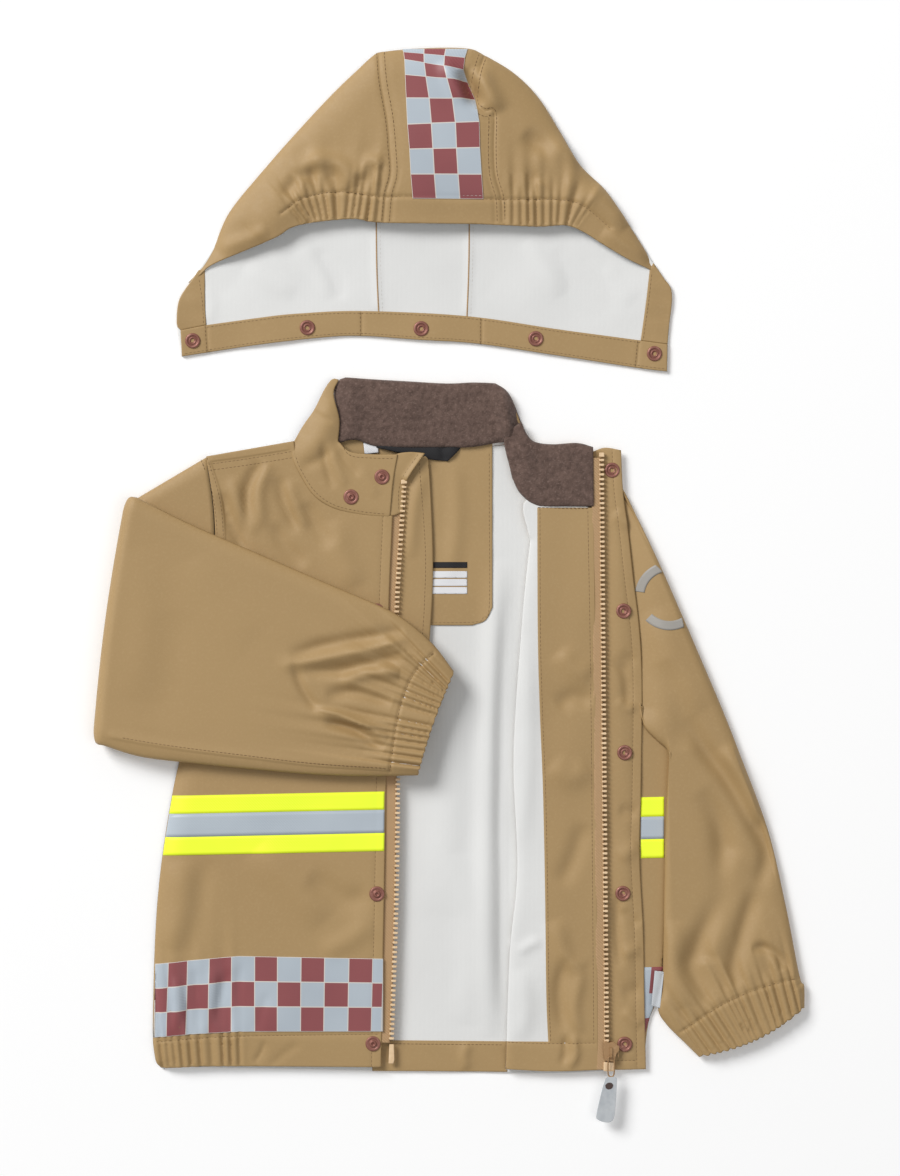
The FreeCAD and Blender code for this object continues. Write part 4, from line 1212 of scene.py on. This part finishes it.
# ---- collar -----------------------------------------------------------------------------------
def collar():
    """The back and the left end of the collar, fleece over cloth."""
    back_outline = loop([(-88, 110), (-86, 129), (-90, 149), (-87, 159), (-81, 162)],
                        [(-81, 162), (-60, 160.5), (-33, 159), (-2, 157.2), (19, 158), (36, 157.5)],
                        [(36, 157.5), (45, 151.5), (51.5, 140), (58.5, 121), (61, 111)],
                        [(61, 111), (41, 111), (19, 107.5), (-2, 107), (-52, 107), (-73, 113), (-88, 110)])
    lie = Lie(level("collar_fleece_back") + 1.0)
    rounded_off(lie, line((-90, 149), (-81, 162), (-33, 159), (36, 157.5), (47, 151), (56, 128)), 9, 3.6)
    rounded_off(lie, line((-73, 112), (-52, 107), (-2, 107), (19, 107.5), (41, 112)), 6, 2.2)
    lie.fold(6, 1.8, (40, 152), (44, 134), (47, 112))
    lie.fold(4, -1.2, (54, 140), (54, 125), (57, 110))
    lie.fold(10, 0.8, (-60, 150), (-40, 140), (-20, 136))
    lie.fold(7, 0.9, (-78, 156), (-76, 130), (-79, 112))
    lie.swell(0.5, 34, 71)
    fleece_sheet("collar_fleece_back", back_outline, lie, "coat", ["collar_fleece_back"])
    under = Lie(level("collar_outer_back"))
    cloth("collar_outer_back", shrink(back_outline, 0.8), under, "coat", faces=(TAN, TAN), spacing=4,
          replaces=["collar_outer_back"])

    left_outline = loop([(49.3, 83), (55.7, 71), (69, 61.5), (90, 61), (113, 60.8)],
                        [(113, 60.8), (112.6, 107.5)], [(112.6, 107.5), (100, 110.6), (81, 109.6),
                                                        (67, 111.5),
                                                          (60.5, 118), (56.6, 127)],
                        [(56.6, 127), (48, 121), (43, 113), (44.4, 103), (47, 93), (49.3, 83)])
    fleece_left = Lie(level("collar_fleece_left"))
    rounded_off(fleece_left, line((44.4, 103), (49.3, 83), (55.7, 71), (69, 61.5), (90, 61),
                                  (113, 60.8)), 6, 1.8)
    rounded_off(fleece_left, line((112.6, 107.5), (100, 110.6), (81, 109.6), (67, 111.5), (60.5, 118)),
                6, 1.8)
    fleece_left.fold(5, 0.7, (50, 112), (60, 98), (62, 80))
    fleece_left.fold(5, -0.7, (66, 108), (74, 96), (90, 84))
    fleece_left.fold(5, 0.6, (84, 106), (96, 92), (106, 74))
    fleece_left.swell(0.45, 30, 72)
    fleece_sheet("collar_fleece_left", left_outline, fleece_left, "left_front", ["collar_fleece_left"])
    cloth("collar_outer_left", shrink(left_outline, 0.8), Lie(level("collar_outer_left")), "left_front",
          faces=(TAN, TAN), spacing=4, replaces=["collar_outer_left", "hood_stud_left"])
    stitches(line((69, 60.2), (90, 59.6), (109, 59.4)), Lie(LEFT_Z + 0.9), "left_front")


def shrink(outline, inset):
    """The outline moved inwards."""
    closed = np.vstack([outline[-1:], outline, outline[:1]])
    return shifted(closed, inset)[1:-1]


def fleece_sheet(name, outline, lie, body, nodes):
    """A thick sheet with a pile of its own."""
    random = np.random.default_rng(len(name))
    tufts = [(random.uniform(0, np.pi), random.uniform(0, 2 * np.pi),
              random.uniform(2.2, 6.5)) for _ in range(16)]

    def pile(p):
        soft = sum(np.sin(2 * np.pi * (math.cos(a) * p[:, 0] + math.sin(a) * p[:, 1]) / size + phase)
                   for a, phase, size in tufts) / 8
        grain = np.modf(np.abs(np.sin(p[:, 0] * 12.9898 + p[:, 1] * 78.233)) * 43758.5453)[0]
        return 0.16 * soft + 0.34 * (grain - 0.5)
    pelt = Lie(lie)
    pelt.add(pile)
    return cloth(name, outline, pelt, body, "fleece", 2.4, (FLEECE, FLEECE), 1.25, replaces=nodes, edge=1.6)


def right_collar(front):
    """The collar's right end, its turned corner and the studs of the front."""
    outline = loop([(-46, 52.5), (-69, 54.5), (-90, 59.5), (-106, 70), (-117.5, 88), (-122, 99),
                    (-122, 110)],
                   [(-122, 110), (-114, 124), (-105, 137), (-97, 153), (-91, 160.5), (-86, 160)],
                   [(-86, 160), (-90, 149), (-85.5, 129), (-86.5, 112)],
                   [(-86.5, 112), (-77, 103.6), (-60, 101.6), (-40, 101.4)],
                   [(-40, 101.4), (-43.6, 80), (-46, 52.5)])
    lie = Lie(level("collar_outer_right"))
    lie.slope(line((-46, 52.5), (-69, 54.5), (-90, 59.5), (-106, 70), (-117.5, 88), (-122, 99)), 3, 0.7)
    lie.slope(line((-86, 160), (-90, 149), (-85.5, 129), (-86.5, 112)), 5, 1.8)
    lie.slope(line((-120.5, 110), (-114, 124), (-97, 153), (-91, 160.5)), 7, 3.2)
    lie.fold(9, 0.8, (-116, 100), (-102, 112), (-94, 132), (-92, 148))
    lie.crease(3.2, -0.7, (-99, 112), (-96, 94), (-90, 74))
    lie.crease(3.4, 0.55, (-93, 110), (-88, 94), (-80, 76))
    lie.crease(3, -0.5, (-86, 106), (-80, 96), (-70, 84))
    lie.fold(4, -0.5, (-116, 92), (-104, 96), (-90, 106))
    lie.crease(3, -0.5, (-108, 136), (-99, 130), (-90, 127))
    lie.fold(4, 0.3, (-70, 92), (-62, 80), (-56, 68))
    lie.swell(0.3, 54, 81)
    rim = line((-84, 110), (-77, 100.6), (-60, 98.6), (-43, 98.2))
    base = line((-50, 55), (-69, 57), (-89, 61.8), (-104, 72), (-115.2, 89), (-119.6, 100))
    cloth("collar_outer_right", outline, lie, "coat", faces=(TAN, FLEECE), spacing=2.4, rows=[base],
          replaces=["collar_outer_right"])
    stitches(base, lie, "coat")
    stitches(rim, lie, "coat")
    corner = loop([(-47, 99), (-47.5, 57), (-36, 56)], [(-36, 56), (-33.6, 79), (-18.4, 102.6)],
                  [(-18.4, 102.6), (-30, 103.4), (-40, 102.2), (-47, 99)])
    fold = Lie(level("collar_outer_right") - 1.0)
    fold.fold(3.2, 1.2, (-18, 103), (-26, 92), (-34, 80), fade=0.1)
    fold.slope(line((-34, 56), (-33.6, 79), (-18.4, 102.6)), 5, 2)
    fold.swell(0.3, 26, 82)
    cloth("collar_corner_right", corner, fold, "coat", faces=(TAN, FLEECE), spacing=2.0,
          replaces=["collar_fleece_right"])
    stitches(shifted(line((-36, 58), (-34.5, 79), (-21, 100)), 3.4), fold, "coat")
    snaps("collar_studs", [(-52.3, 83.9), (-76.4, 68.3)], lie, "coat", STUD, "hood_studs_neck")
    snaps("front_snap_studs", FRONT_STUDS[1:], front, "coat", STUD, "front_snap_studs")


# ---- sleeves ----------------------------------------------------------------------------------
FACE_UP = np.pi              # how far round the fold a sleeve's top face has gone
CUFF_STATIONS = np.linspace(0, 1, 12)


def right_sleeve():
    """The sleeve folded across the chest: flat to the fold, round it and back."""
    fold_top, fold_low = np.array([-252.0, 69.0]), np.array([-278.0, -124.0])
    out = np.array([-193.0, 26.0]) / math.hypot(193, 26)
    across, upper_rows, turn_rows, forearm_rows = 116, 21, 16, 150
    steps = across_steps(across)
    near = 9.0               # the fold's axis lies this far inside its outermost line
    fold_a, fold_b = fold_top - near * out, fold_low - near * out
    fold_line = fold_a + steps[:, None] * (fold_b - fold_a)
    bow = 5.0 * np.sin(np.pi * steps)[:, None] * out
    fold_line = fold_line + bow * 0.6
    arm = line((-189.5, 99.5), (-183.5, 50), (-184.5, -12), (-200, -91))
    arm = shares(arm, steps)
    upper = [arm * (1 - s) + fold_line * s for s in np.linspace(0, 1, upper_rows + 1)[:-1]]
    turns = np.linspace(0, FACE_UP, turn_rows)
    one = line(tuple(fold_a), (-200, 46.5), (-147, 23.5), (-96, 1.5), (-54, -16.5), (-38, -25),
               (-24, -35.5),
               (-10, -49), (4, -67.5))
    other = line(tuple(fold_b), (-240, -134), (-200, -139), (-150, -144), (-100, -148), (-60, -149),
                 (-24.5, -148.5))
    share = cuffwards(forearm_rows, 78)
    forearm = between(one, other, share, across)
    s = np.clip(share * 6, 0, 1)[:, None, None]
    straight = fold_line[None] + (forearm - forearm[0][None])
    forearm = straight * (1 - s) + forearm * s
    pucker = np.abs(np.sin(np.pi * (steps * 15.5 + 0.6 * wander(steps, 0.9, 93)))) - 0.5
    ramp = np.clip((share - 0.8) / 0.2, 0, 1)[:, None]
    end_bow = ramp * -3 * np.sin(np.pi * steps)[None] + 1.5 * ramp ** 3 * pucker[None]
    forearm[..., 0] += end_bow * 0.6
    forearm[..., 1] += end_bow * -0.1
    base = np.concatenate([np.array(upper), np.repeat(fold_line[None], turn_rows, axis=0), forearm[1:]])
    turn = np.concatenate([np.zeros(upper_rows), turns, np.full(forearm_rows - 1, FACE_UP)])

    lie = Lie(0.0)
    lie.swell(0.45, 140, 91)
    cuff = line((-12, -53), (-27, -69), (-36, -89), (-41, -110), (-45, -137), (-46, -146))
    lie.gathers(cuff[::-1], 6.4, 3.0, 24, 56, 92)
    groove(lie, cuff, 0.8, 1.4)
    lie.crease(6, 1.5, (-134, -64), (-100, -58), (-62, -50), (-30, -42), fade=0.4)
    lie.fold(5, -1.2, (-124, -56), (-96, -47), (-62, -41), (-34, -36))
    lie.fold(5, -1.3, (-118, -66), (-90, -68), (-60, -62), (-34, -56))
    lie.crease(4, -1.2, (-121, -60), (-114, -80), (-102, -98))
    lie.crease(4, 1.6, (-104, -97), (-82, -102), (-47, -119))
    lie.fold(4, -1.5, (-96, -106), (-74, -113), (-50, -128))
    lie.fold(5, -1.3, (-96, -86), (-70, -84), (-44, -92))
    lie.fold(5, 1.5, (-84, -74), (-60, -68), (-38, -70))
    lie.fold(18, 0.3, (-200, 20), (-180, -20), (-150, -44))
    lie.fold(14, 0.3, (-240, 30), (-236, -30), (-244, -90))
    lie.fold(16, -0.3, (-214, -20), (-218, -70), (-230, -110))
    seam = line((-266, -119), (-218, -127), (-156, -135), (-105, -141), (-45, -145))
    lap(lie, seam, 0.7, 1, 5)
    made = flat_tube("right_sleeve", base, turn, None, tuple(out), 11.0, 6.0, 5.0, 13.0, lie,
                     replaces=["right_sleeve_upper", "right_sleeve_lower", "right_cuff"])
    face = lie.raised(level("right_sleeve_lower"))
    stitches(cuff, face, "right_sleeve")
    stitches(shifted(seam, 2.0)[6:-2], face, "right_sleeve")
    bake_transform(made)
    inner = between(line((-27, -41), (-13, -52), (1.5, -69)), line((-46, -146), (-36, -147.5),
                    (-26, -147.5)), CUFF_STATIONS, 40)
    flat_tube("right_cuff_lining", inner, np.full(len(CUFF_STATIONS), FACE_UP), "right_sleeve", (0, 0),
              11.0, 6.0, 3.5, 11.0, None,
              (ELASTIC, ELASTIC), "elastic", 0.7, ["right_cuff_elastic"])
    return face


def left_sleeve():
    """The sleeve beside the coat, with its ring of print."""
    outer = line((134, 79), (141, 66), (165, 16), (196, -56), (213, -96), (226, -129), (249, -191),
                 (263, -250), (274, -306), (277.5, -313), (277.5, -330))
    inner = line((150, -95), (152.6, -111), (163, -122.5), (171.6, -132.6), (170.4, -163), (168.6, -215),
                 (167.4, -290), (166.6, -316), (163.6, -333), (171, -345), (182, -356), (195, -368.5))
    stations, across = 170, 112
    run = cuffwards(stations, 100, 0.22)
    base = between(outer, inner, run, across)
    armhole = line(*LEFT_ARMHOLE)
    t = across_steps(across)
    arm = shares(armhole, t)
    share = np.clip(run * 3.2, 0, 1)[:, None, None] ** 0.7
    base = (arm[None] + (base - base[0][None])) * (1 - share) + base * share
    bow = np.clip((run - 0.86) / 0.14, 0, 1)[:, None] * 7 * np.sin(np.pi * t)[None]
    pucker = np.abs(np.sin(np.pi * (t * 17.5 + 0.6 * wander(t, 0.8, 103)))) - 0.5
    bow = bow + 1.6 * np.clip((run - 0.9) / 0.1, 0, 1)[:, None] ** 3 * pucker[None]
    base[..., 0] += bow * 0.5
    base[..., 1] -= bow * 0.85
    lie = Lie(0.0)
    lie.add(lambda p: -7.0 * np.exp(-(measure(p, armhole)[0] / 13) ** 1.6))
    lie.swell(0.6, 110, 101)
    cuff = line((276, -306), (243, -315), (213, -328), (180, -350))
    lie.gathers(cuff[::-1], 6.4, 3.0, 24, 30, 102)
    groove(lie, cuff, 0.8, 1.4)
    lie.fold(7, -2.0, (186, -104), (200, -129), (216, -149), (233, -178), (248, -211), (239, -241))
    lie.fold(9, 1.6, (214, -126), (230, -154), (244, -188))
    lie.fold(9, -2.0, (196, -160), (212, -190), (214, -240), (195, -284), (191, -300), (208, -324))
    lie.fold(9, 1.5, (222, -206), (212, -250), (204, -290))
    lie.fold(7, -1.5, (240, -236), (228, -276), (223, -300), (227, -314))
    lie.fold(4, -1.2, (236, -284), (247, -284), (258, -292), (261, -302))
    lie.fold(9, 1.0, (178, -262), (176, -296), (186, -330))
    lie.fold(14, 0.9, (160, -20), (176, -60), (196, -100))
    lie.fold(10, -0.8, (166, -60), (180, -90), (184, -130))
    made = flat_tube("left_sleeve", base, np.full(stations, FACE_UP), None, (0, 0), 0.0, 4.7, 4.7, 13.0,
                     lie, (TAN, TAN),
                     replaces=["left_sleeve_head", "left_sleeve_lower", "left_cuff"])
    face = lie.raised(level("left_sleeve_lower"))
    stitches(cuff[3:-3], face, "left_sleeve")
    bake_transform(made)
    lining = between(line((273, -309), (275.5, -329)), line((182, -349), (195, -365)), CUFF_STATIONS, 40)
    flat_tube("left_cuff_lining", lining, np.full(len(CUFF_STATIONS), FACE_UP), "left_sleeve", (0, 0),
              0.0, 4.7, 2.4, 11.0, None,
              (ELASTIC, ELASTIC), "elastic", 0.7, ["left_cuff_elastic"])

    def ring(first, last, lean):
        def corner(u, v):
            angle = np.radians(first + u * (last + lean * v - first))
            radius = 26.6 - 7.2 * v
            return np.column_stack([172 + radius * np.cos(angle), -9 + radius * np.sin(angle)])
        return corner
    for number, (first, last, lean) in enumerate(((172, 114, -8), (-134, -65, 5))):
        film_grid(f"sleeve_ring_{number + 1}", ring(first, last, lean), 8, 1, lambda i, j: 0, face,
                  "left_sleeve",
                  "film_silver", ["left_sleeve_ring"] if number == 0 else (), 5, 0.3, (PRINT,))
    return face


# ---- hood -------------------------------------------------------------------------------------
HOOD_TOP = [(-213, 204), (-211, 223), (-199, 242), (-185, 263), (-172, 291), (-147, 322), (-118, 355),
            (-91, 384),
            (-70, 404), (-56, 416)]
HOOD_RIGHT = [(28, 414), (51, 400), (70, 381), (87, 354), (101, 330), (121, 310), (132, 295), (148, 271),
              (159, 253),
              (175, 228)]
HOOD_BOTTOM = [(171, 166), (148, 169), (83, 179), (22, 188), (-24, 191), (-67, 194), (-97, 193),
               (-150, 187),
               (-209, 178)]
BRIM = [(-196, 241), (-185, 250), (-158, 261), (-134, 271), (-123, 278), (-107, 282), (-75, 285),
        (-53, 282), (16, 281),
        (43, 280), (70, 279), (91, 280), (105, 275), (121, 265), (140, 254), (160, 245)]


def hood():
    """The loose hood: inside, neck band, corners, domed outside and brim."""
    low_outline = loop(HOOD_TOP, [(-56, 416), (-20, 419.4), (14, 419.4), (28, 414)], HOOD_RIGHT,
                       [(175, 228), (172, 191), (171, 166)], HOOD_BOTTOM, [(-209, 178), (-213, 204)])
    inside_lie = Lie(1.6)
    inside_lie.swell(0.7, 70, 111)
    inside_lie.fold(3, 0.3, (-57, 282), (-57, 250), (-55, 214), fade=0.1)
    inside_lie.fold(3, 0.3, (16, 280), (16, 250), (14, 210), fade=0.1)
    inside_lie.fold(7, 0.4, (-120, 268), (-104, 248), (-92, 224))
    inside_lie.fold(5, -0.3, (-104, 262), (-90, 244), (-84, 222))
    inside_lie.fold(7, 0.3, (-160, 250), (-140, 236), (-120, 228))
    inside_lie.fold(7, 0.35, (60, 270), (74, 250), (88, 226))
    inside_lie.fold(6, -0.3, (84, 264), (96, 244), (104, 220))
    inside_lie.fold(8, 0.3, (120, 250), (132, 234), (146, 222))
    inside_lie.fold(5, 0.25, (-190, 236), (-186, 220), (-188, 204))
    seams = [line((-57, 300), (-56.5, 250), (-55, 212)), line((16, 300), (15.5, 250), (14, 208))]
    cloth("hood_inside", low_outline, inside_lie, "hood", faces=(WHITE, TAN), spacing=3.6, rows=seams,
          dense=[(line((-190, 240), (-60, 250), (20, 250), (160, 230)), 44, 2.6)])
    for number, seam in enumerate(seams):
        bound = loop(shifted(seam, 0.55), shifted(seam, -0.55)[::-1])
        cloth(f"hood_inside_seam_{number + 1}", bound, inside_lie.raised(0.35), "hood", thick=0.5,
              faces=(TAPE, TAPE),
              spacing=1.6, edge=0.3)
        stitches(shifted(seam, 3.0), inside_lie, "hood", PALE_THREAD)

    band_top = [(-190, 203), (-150, 208.5), (-118, 212), (-68, 214), (14, 210), (83, 200), (150, 191)]
    band_outline = loop([(-209, 178.4), (-150, 187.4), (-97, 193.4), (-67, 194.4), (-24, 191.4),
                         (22, 188.4),
                         (83, 179.4), (148, 169.4), (170.6, 166.6)], *straight((170.6, 166.6),
            (171, 188), (150, 191)), band_top[::-1], *straight((-190, 203), (-210, 199), (-209, 178.4)))
    band = inside_lie.raised(1.0)
    band.swell(0.35, 60, 112)
    joints = [line((-68, 194), (-68, 213.6)), line((26, 187.6), (26, 209)),
              line((-188, 181), (-189.5, 203)),
              line((147, 170), (149, 191))]
    for path in joints:
        groove(band, path, 0.5)
    cloth("hood_neck_band", band_outline, band, "hood", faces=(TAN, TAN), thick=0.9, spacing=2.4,
          rows=joints,
          replaces=["hood_neck_band"])
    upper_edge = line(*[(x, y - 1.8) for x, y in band_top])
    lower_edge = line((-207, 180.6), (-150, 189.4), (-97, 195.4), (-67, 196.4), (-24, 193.4),
                      (22, 190.4), (83, 181.4),
                      (148, 171.4), (169, 168.6))
    for path in (upper_edge, lower_edge, *(shifted(j, 1.4) for j in joints)):
        stitches(path, band, "hood")
    corners = (("right", loop([(-210, 199), (-190, 203)], [(-190, 203), (-191, 222), (-191, 247)],
                              [(-191, 247), (-196, 246)],
                              [(-196, 246), (-200, 240), (-211, 223), (-213, 204), (-210, 199)])),
               ("left", loop([(150, 191), (171, 188)], [(171, 188), (172, 200), (174.4, 228),
                                                        (167.6, 240.4), (160, 251.6)],
                             [(160, 251.6), (157, 246)], [(157, 246), (154, 220), (150, 191)])))
    for name, outline in corners:
        lie = inside_lie.raised(0.9)
        lie.swell(0.4, 24, 113)
        cloth(f"hood_corner_{name}", outline, lie, "hood", faces=(TAN, TAN), thick=0.8, spacing=2.2,
              replaces=["hood_corner_facings"] if name == "right" else ())
        stitches(line(*((-192, 204), (-193, 222), (-195.6, 239)) if name == "right"
                      else ((152, 192), (156, 220), (158.6, 243))), lie, "hood")
    snaps("hood_snap_sockets", HOOD_SNAPS, band, "hood", SOCKET, "hood_snap_sockets")

    brim = line(*BRIM)
    outline = loop(HOOD_TOP[2:], [(-56, 416), (-20, 419.4), (14, 419.4), (28, 414)], HOOD_RIGHT[:-1],
                   [(159, 253), (166.6, 241.6), (160, 245)], BRIM[::-1], [(-196, 241), (-204, 236),
                   (-199, 242)])
    edge = line(*HOOD_TOP[1:], (-20, 419.4), (14, 419.4), *HOOD_RIGHT)
    lie = Lie(0.0)

    def dome(p):
        d, _, _ = measure(p, edge)
        rise = 2.8 + 9.0 * np.sqrt(1 - (1 - np.minimum(d / 24, 1)) ** 2)
        x = p[:, 0]
        ends = np.clip(np.minimum(x + 196, 160 - x) / 60, 0, 1)
        return rise + 5.0 * (1 - np.exp(-(d / 70) ** 2)) * ends
    lie.add(dome)

    def at_brim(p):
        share = np.exp(-(measure(p, brim)[0] / 22) ** 2)
        ends = np.clip(np.minimum(p[:, 0] + 190, 154 - p[:, 0]) / 40, 0, 1)
        return -share * (4.5 - 0.5 * ends)
    lie.add(at_brim)
    channel = line((-131, 289), (-113, 301), (-86, 306), (-53, 302), (-30, 302), (43, 300), (86, 300),
                   (105, 295),
                   (126, 278))
    length_at = measure(np.array([(-129, 291), (-49, 302), (41, 300), (112, 290)]), channel)[1]
    lie.gathers(channel, 6.8, 3.4, 20, 30, 114, span=(length_at[0], length_at[1]))
    lie.gathers(channel, 6.6, 3.2, 20, 30, 115, span=(length_at[2], length_at[3]))
    groove(lie, channel, 0.9, 1.4)
    left_seam = line((-55, 416), (-53, 392), (-48, 363), (-46, 341), (-45, 320), (-49, 304), (-51, 283))
    right_seam = line((28, 414), (23, 397), (21, 376), (28, 369), (35, 368), (35, 341), (36, 320),
                      (41, 301), (42, 283))
    for path, side in ((left_seam, -1), (right_seam, 1)):
        groove(lie, path, 0.9, 1.3)
        groove(lie, shifted(path, -6.0 * side), 0.6, 1.3)
    lie.fold(5, -3.2, (10, 402), (16, 388), (24, 372), fade=0.4)
    lie.fold(7, 2.2, (22, 404), (30, 386), (40, 368), fade=0.4)
    lie.fold(6, 1.6, (-4, 410), (2, 394), (12, 376), fade=0.4)
    lie.fold(16, 1.6, (-150, 270), (-130, 292), (-118, 320))
    lie.fold(7, 1.8, (-118, 312), (-104, 330), (-84, 326), (-78, 308))
    lie.fold(6, -1.4, (-128, 302), (-116, 318), (-100, 322))
    lie.fold(5, 1.2, (-70, 316), (-62, 330), (-52, 326))
    lie.fold(9, 1.6, (70, 316), (84, 338), (104, 330))
    lie.fold(7, -1.6, (58, 352), (76, 336), (70, 312))
    lie.fold(9, 1.4, (100, 306), (118, 300), (140, 280))
    lie.fold(6, 1.1, (-180, 262), (-160, 268), (-140, 276))
    lie.fold(6, 1.0, (120, 276), (140, 264), (158, 254))
    lie.swell(0.7, 90, 116)
    cloth("hood_outside", outline, lie, "hood", faces=(TAN, WHITE), spacing=3.0,
          rows=[channel, left_seam, right_seam],
          dense=[(line((-131, 289), (-86, 298), (-50, 296)), 30, 1.6),
                 (line((41, 292), (86, 290), (126, 276)), 28, 1.6)],
          replaces=["hood_panel_centre", "hood_panel_right", "hood_panel_left", "hood_brim_hem",
                    "hood_brim_elastic"])
    stitches(channel, lie, "hood")
    for path, side in ((left_seam, -1), (right_seam, 1)):
        stitches(shifted(path, 1.6 * side), lie, "hood")
        stitches(shifted(path, -4.4 * side), lie, "hood")
    left_edge = [(-28.3, 300.6), (-29.9, 319.4), (-30.9, 338.9), (-32.5, 358.4), (-33.5, 379),
                 (-34.3, 397.4),
                 (-34.8, 409.6), (-35.6, 415.6), (-36.6, 418.4)]
    right_edge = [(26.8, 300.2), (25.5, 319.4), (24.2, 340.2), (23.7, 360.6), (20.6, 378.6), (14.6, 392.5),
                  (11.4, 401.3), (12.5, 411), (14.6, 418.4)]
    film_grid("hood_checks", ribbon(left_edge, right_edge), 3, 8, lambda i, j: (i + j + 1) % 2, lie, "hood",
              "film_silver", ["hood_reflective_strip", "hood_check_red"], 8, 0.6, (SILVER, RED, RIM))
    stitches(line((-29, 303.4), (26, 302.8)), lie.raised(0.35), "hood", PALE_THREAD)


# ---- putting it together ----------------------------------------------------------------------
back_lie = back()
facing_lie = neck_facing(back_lie)
labels(facing_lie)
hanger_loop()
front_lie = right_front()
side_lie = left_side()
body_films(front_lie, side_lie)
left_front()
fold_roll()
storm_flap()
zips()
zip_guard()
slider()
collar()
right_collar(front_lie)
right_sleeve()
left_sleeve()
hood()
sew_everything()


# ---- table, light and camera ------------------------------------------------------------------
def stage():
    """Table, light and camera."""
    bpy.ops.mesh.primitive_grid_add(size=60, x_subdivisions=30, y_subdivisions=30, location=(0, 0, -0.0004))
    floor = bpy.context.object
    floor.name = "table"
    paper = bpy.data.materials.new("pale_table")
    paper.use_nodes = True
    shader = paper.node_tree.nodes["Principled BSDF"]
    shader.inputs["Base Color"].default_value = (0.97, 0.97, 0.97, 1)
    shader.inputs["Emission Color"].default_value = (1, 1, 1, 1)
    shader.inputs["Emission Strength"].default_value = 0.07
    shader.inputs["Roughness"].default_value = 0.9
    shader.inputs["Specular IOR Level"].default_value = 0.1
    floor.data.materials.append(paper)

    world = bpy.data.worlds.new("studio")
    world.use_nodes = True
    world.node_tree.nodes["Background"].inputs["Color"].default_value = (1, 1, 1, 1)
    world.node_tree.nodes["Background"].inputs["Strength"].default_value = 0.30
    bpy.context.scene.world = world
    bpy.context.scene.view_settings.view_transform = "Standard"

    def lamp(name, place, size, power):
        data = bpy.data.lights.new(name, "AREA")
        data.shape = "RECTANGLE"
        data.size = size
        data.size_y = size
        data.energy = power
        made = bpy.data.objects.new(name, data)
        made.location = place
        made.rotation_euler = (-Vector(place)).to_track_quat("-Z", "Y").to_euler()
        bpy.context.collection.objects.link(made)
    lamp("key", (-5, 4.4, 5.2), 3.6, 640)
    lamp("overhead", (1.5, -0.6, 3.8), 2.4, 27)

    data = bpy.data.cameras.new("camera")
    data.lens = 100
    data.sensor_width = 36
    data.clip_end = 20
    camera = bpy.data.objects.new("camera", data)
    camera.location = (0.00078, -0.00273, 2.558)
    bpy.context.collection.objects.link(camera)
    bpy.context.scene.camera = camera


stage()
